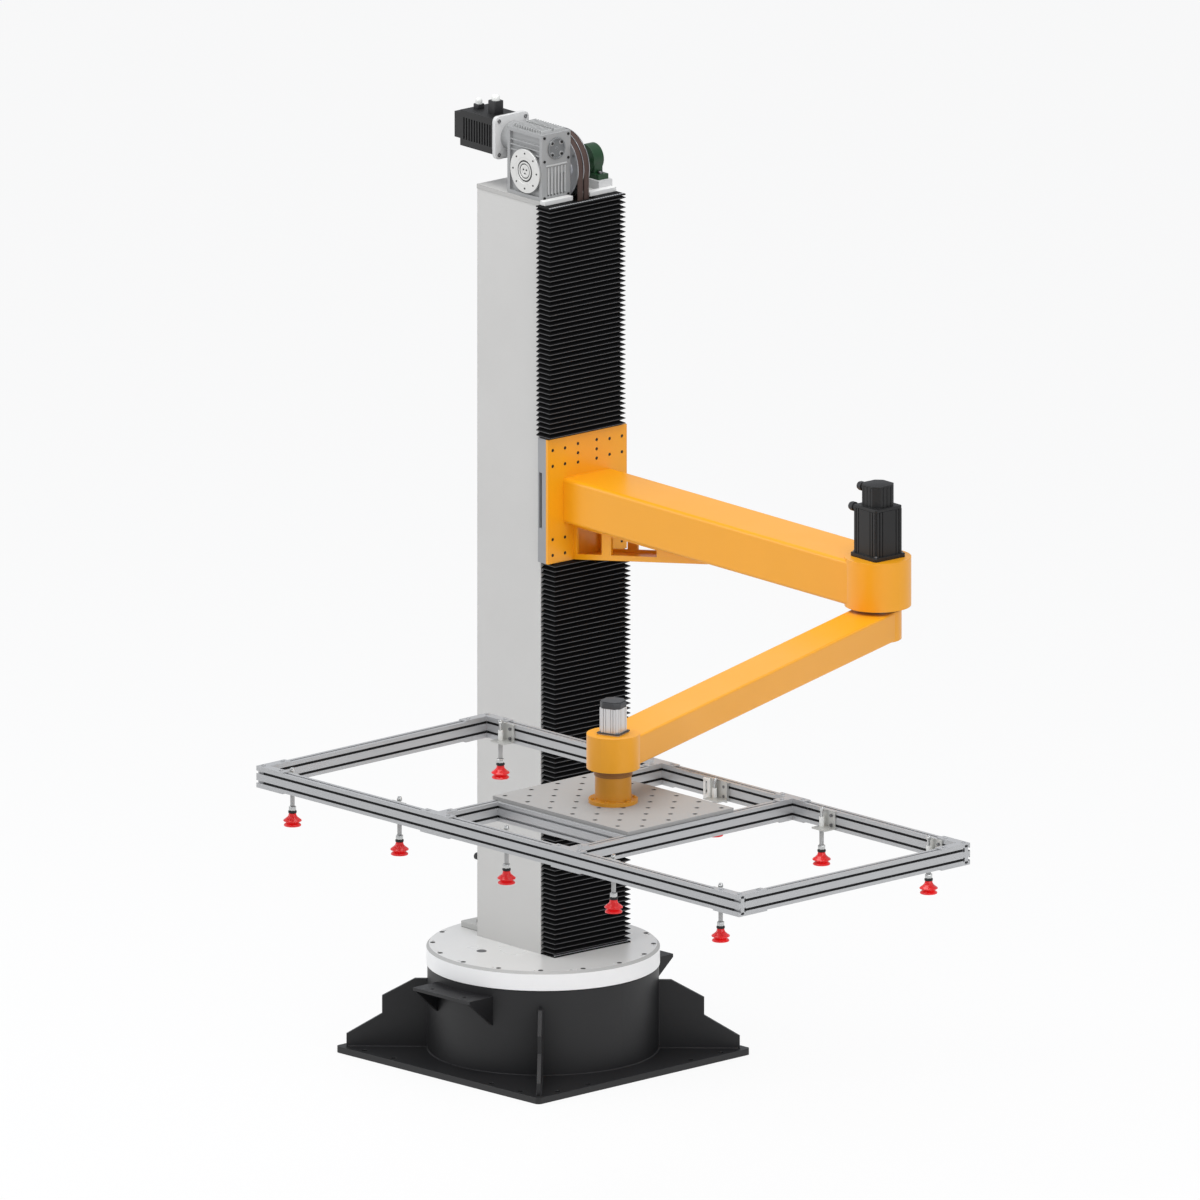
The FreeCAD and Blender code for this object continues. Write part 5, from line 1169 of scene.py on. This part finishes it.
# Painted shade in the slots of the frame
# Thin black strips are pressed into the side slots of the outer rails and cross bars, so that each slot
# shows as a dark line. Their black is painted shade in place of the shadow inside the slots.
SLOT_WIDTH = 0.0078
SLOT_SINK = 0.0012
SLOT_RISES = (0.015, 0.045)
STRIP_THICK = 0.0012
STRIP_INSET = 0.031
FRAME_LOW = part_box("outer_rails")[0].z
# The black of these strips is painted shade for the inside of the slots.
slot_painted_shade = finish("slot_painted_shade_strip", (16, 16, 17), 0.7, size=0.0006, cloud=0.1, bump=0.1, shine=0.2)
shade_strips = []
half_a = FRAME_LENGTH / 2
half_b = FRAME_WIDTH / 2
for rise in SLOT_RISES:
    z_low = FRAME_LOW + rise - SLOT_WIDTH / 2
    z_high = z_low + SLOT_WIDTH
    for sign in (1, -1):
        for reach, length, is_end in ((half_b, half_a, False), (half_a, half_b, True)):
            end = length - STRIP_INSET
            for face, depth in ((reach, SLOT_SINK), (reach - 2 * PROFILE_HALF, -SLOT_SINK - STRIP_THICK)):
                near = face - depth - STRIP_THICK
                low, high = sorted((sign * near, sign * (near + STRIP_THICK)))
                if is_end:
                    shade_strips.append(((low, -end, z_low), (high, end, z_high)))
                else:
                    shade_strips.append(((-end, low, z_low), (end, high, z_high)))
    for bar in CROSS_BARS:
        for sign in (1, -1):
            face = bar + sign * PROFILE_HALF
            low, high = sorted((face - sign * SLOT_SINK, face - sign * (SLOT_SINK + STRIP_THICK)))
            shade_strips.append(((low, -half_b + STRIP_INSET, z_low), (high, half_b - STRIP_INSET, z_high)))
slot_shade_piece = blocks("rail_slot_covers", shade_strips, tool_place, slot_painted_shade, 0.0001)
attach(slot_shade_piece, "tool_frame")

# Cup brackets and bushes
# A bent steel angle hangs each cup inside a long rail on two screws. The stem slides in a white
# plastic bush.
zinc_sheet = finish("zinc_bracket", (196, 196, 192), 0.4, metallic=0.6, size=0.002, cloud=0.15,
                    worn=(230, 230, 230), wear=0.4, radius=0.001)
dress(zinc_sheet, "cup_brackets")
dress(screw_steel, "bracket_screws")
white_bush = finish("white_bush", (236, 236, 232), 0.45, size=0.001, cloud=0.05)
dress(white_bush, "stem_bushes")

# Sensor bracket at the middle of the back rail
# A wider zinc plate is screwed over the middle cup's angle. It carries a white moulded holder with a
# long slot, made for clamping a height sensor.
HOLDER_A = -0.037
HOLDER_B = 0.4235
HOLDER_THICK = 0.006
HOLDER_HALF = 0.0135
HOLDER_HIGH = 0.066
SLOT_HALF = 0.0042
HOLDER_FOOT = 0.016
HOLDER_HEAD = 0.010
SENSOR_START = -0.052
SENSOR_LOW = FRAME_LOW - 0.003
holder_low = FRAME_LOW + 0.0005
holder_high = holder_low + HOLDER_HIGH
sensor_plate = blocks("sensor_plate", [
    ((SENSOR_START, 0.4425, SENSOR_LOW), (0.033, 0.4455, FRAME_LOW + 0.064)),
    ((SENSOR_START, 0.4210, SENSOR_LOW), (-0.026, 0.4430, holder_low))], tool_place, zinc_sheet, 0.0006)
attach(sensor_plate, "tool_frame")
b_low = HOLDER_B - HOLDER_THICK / 2
b_high = HOLDER_B + HOLDER_THICK / 2
bar_half = SLOT_HALF + 0.001
sensor_holder = blocks("sensor_holder", [
    ((HOLDER_A - HOLDER_HALF, b_low, holder_low), (HOLDER_A - SLOT_HALF, b_high, holder_high)),
    ((HOLDER_A + SLOT_HALF, b_low, holder_low), (HOLDER_A + HOLDER_HALF, b_high, holder_high)),
    ((HOLDER_A - bar_half, b_low, holder_low), (HOLDER_A + bar_half, b_high, holder_low + HOLDER_FOOT)),
    ((HOLDER_A - bar_half, b_low, holder_high - HOLDER_HEAD), (HOLDER_A + bar_half, b_high, holder_high))],
    tool_place, white_bush)
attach(sensor_holder, "tool_frame")

# Suction cups
# Each cup is one moulding of red silicone with two folds and a thin lip. It is pressed on a stem of
# plated steel with a black ring and a hexagon nut. A soft grey sleeve keeps dust off the stem.
LIP_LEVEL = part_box("suction_cup_01")[0].z
CUP_PITCH = 0.483
CUP_SHIFT = -0.012
CUP_SPREAD = 0.433
red_silicone = finish("red_silicone", (242, 20, 24), 0.32, size=0.0015, cloud=0.06, coat=0.3)
stem_steel = finish("plated_stem_steel", (196, 197, 196), 0.25, metallic=0.8, cloud=0.1)
ring_rubber = finish("black_ring_rubber", (22, 22, 22), 0.6, bump=0.1)
cup_outline = [(0, 0.040), (0.0095, 0.040), (0.0112, 0.0395), (0.0118, 0.0375), (0.0120, 0.0350),
               (0.0132, 0.0312), (0.0162, 0.0272), (0.0216, 0.0226), (0.0265, 0.0191), (0.0284, 0.0169),
               (0.0280, 0.0151), (0.0236, 0.0133), (0.0196, 0.0119), (0.0189, 0.0106), (0.0206, 0.0084),
               (0.0252, 0.0048), (0.0268, 0.0024), (0.0263, 0.0), (0.0248, 0.0), (0.0220, 0.0040),
               (0.0172, 0.0076), (0.0125, 0.0112), (0.0085, 0.0126), (0, 0.0130)]
stem_outline = [(0, 0.0470), (0.0078, 0.0470), (0.0078, 0.0600), (0.0060, 0.0612), (0.0052, 0.0616),
                (0.0050, 0.0620), (0.0050, 0.1700), (0.0080, 0.1700), (0.0080, 0.1760), (0.0068, 0.1768),
                (0.0068, 0.1800), (0.0055, 0.1820), (0, 0.1820)]
ring_outline = [(0, 0.0400), (0.0120, 0.0400), (0.0130, 0.0410), (0.0130, 0.0460), (0.0120, 0.0470),
                (0, 0.0470)]
nut_outline = [(0, 0.0470), (0.0106, 0.0470), (0.0115, 0.0480), (0.0115, 0.0600), (0.0104, 0.0612),
               (0, 0.0612)]
SLEEVE_LOW = 0.0616
SLEEVE_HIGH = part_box("cup_brackets")[0].z - LIP_LEVEL - 0.0002
sleeve_rubber = finish("grey_sleeve_rubber", (176, 176, 174), 0.45, size=0.001, bump=0.06)
sleeve_outline = [(0.0054, SLEEVE_LOW), (0.0064, SLEEVE_LOW), (0.0069, SLEEVE_LOW + 0.0008),
                  (0.0069, SLEEVE_HIGH - 0.0008), (0.0064, SLEEVE_HIGH), (0.0054, SLEEVE_HIGH),
                  (0.0054, SLEEVE_LOW)]
cup_places = [(side, CUP_SHIFT + step * CUP_PITCH) for side in (1, -1) for step in range(-2, 3)]
for index, (side, a) in enumerate(cup_places, start=1):
    body = f"cup_stem_{index:02d}"
    node_name = f"suction_cup_{index:02d}"
    stand = Matrix.Translation(at_tool(a, side * CUP_SPREAD, LIP_LEVEL))
    for title, outline, material, rim in (("rubber", cup_outline, red_silicone, 64),
                                          ("stem", stem_outline, stem_steel, 32),
                                          ("ring", ring_outline, ring_rubber, 48),
                                          ("nut", nut_outline, stem_steel, 6)):
        piece = turned_piece(f"{node_name}_{title}", outline, stand, material, rim, 40)
        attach(piece, body)
        if title == "rubber":
            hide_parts(node_name)
    sleeve = turned_piece(f"dust_sleeve_{index:02d}", sleeve_outline, stand, sleeve_rubber, 24, 40)
    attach(sleeve, "tool_frame")
    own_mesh(sleeve)
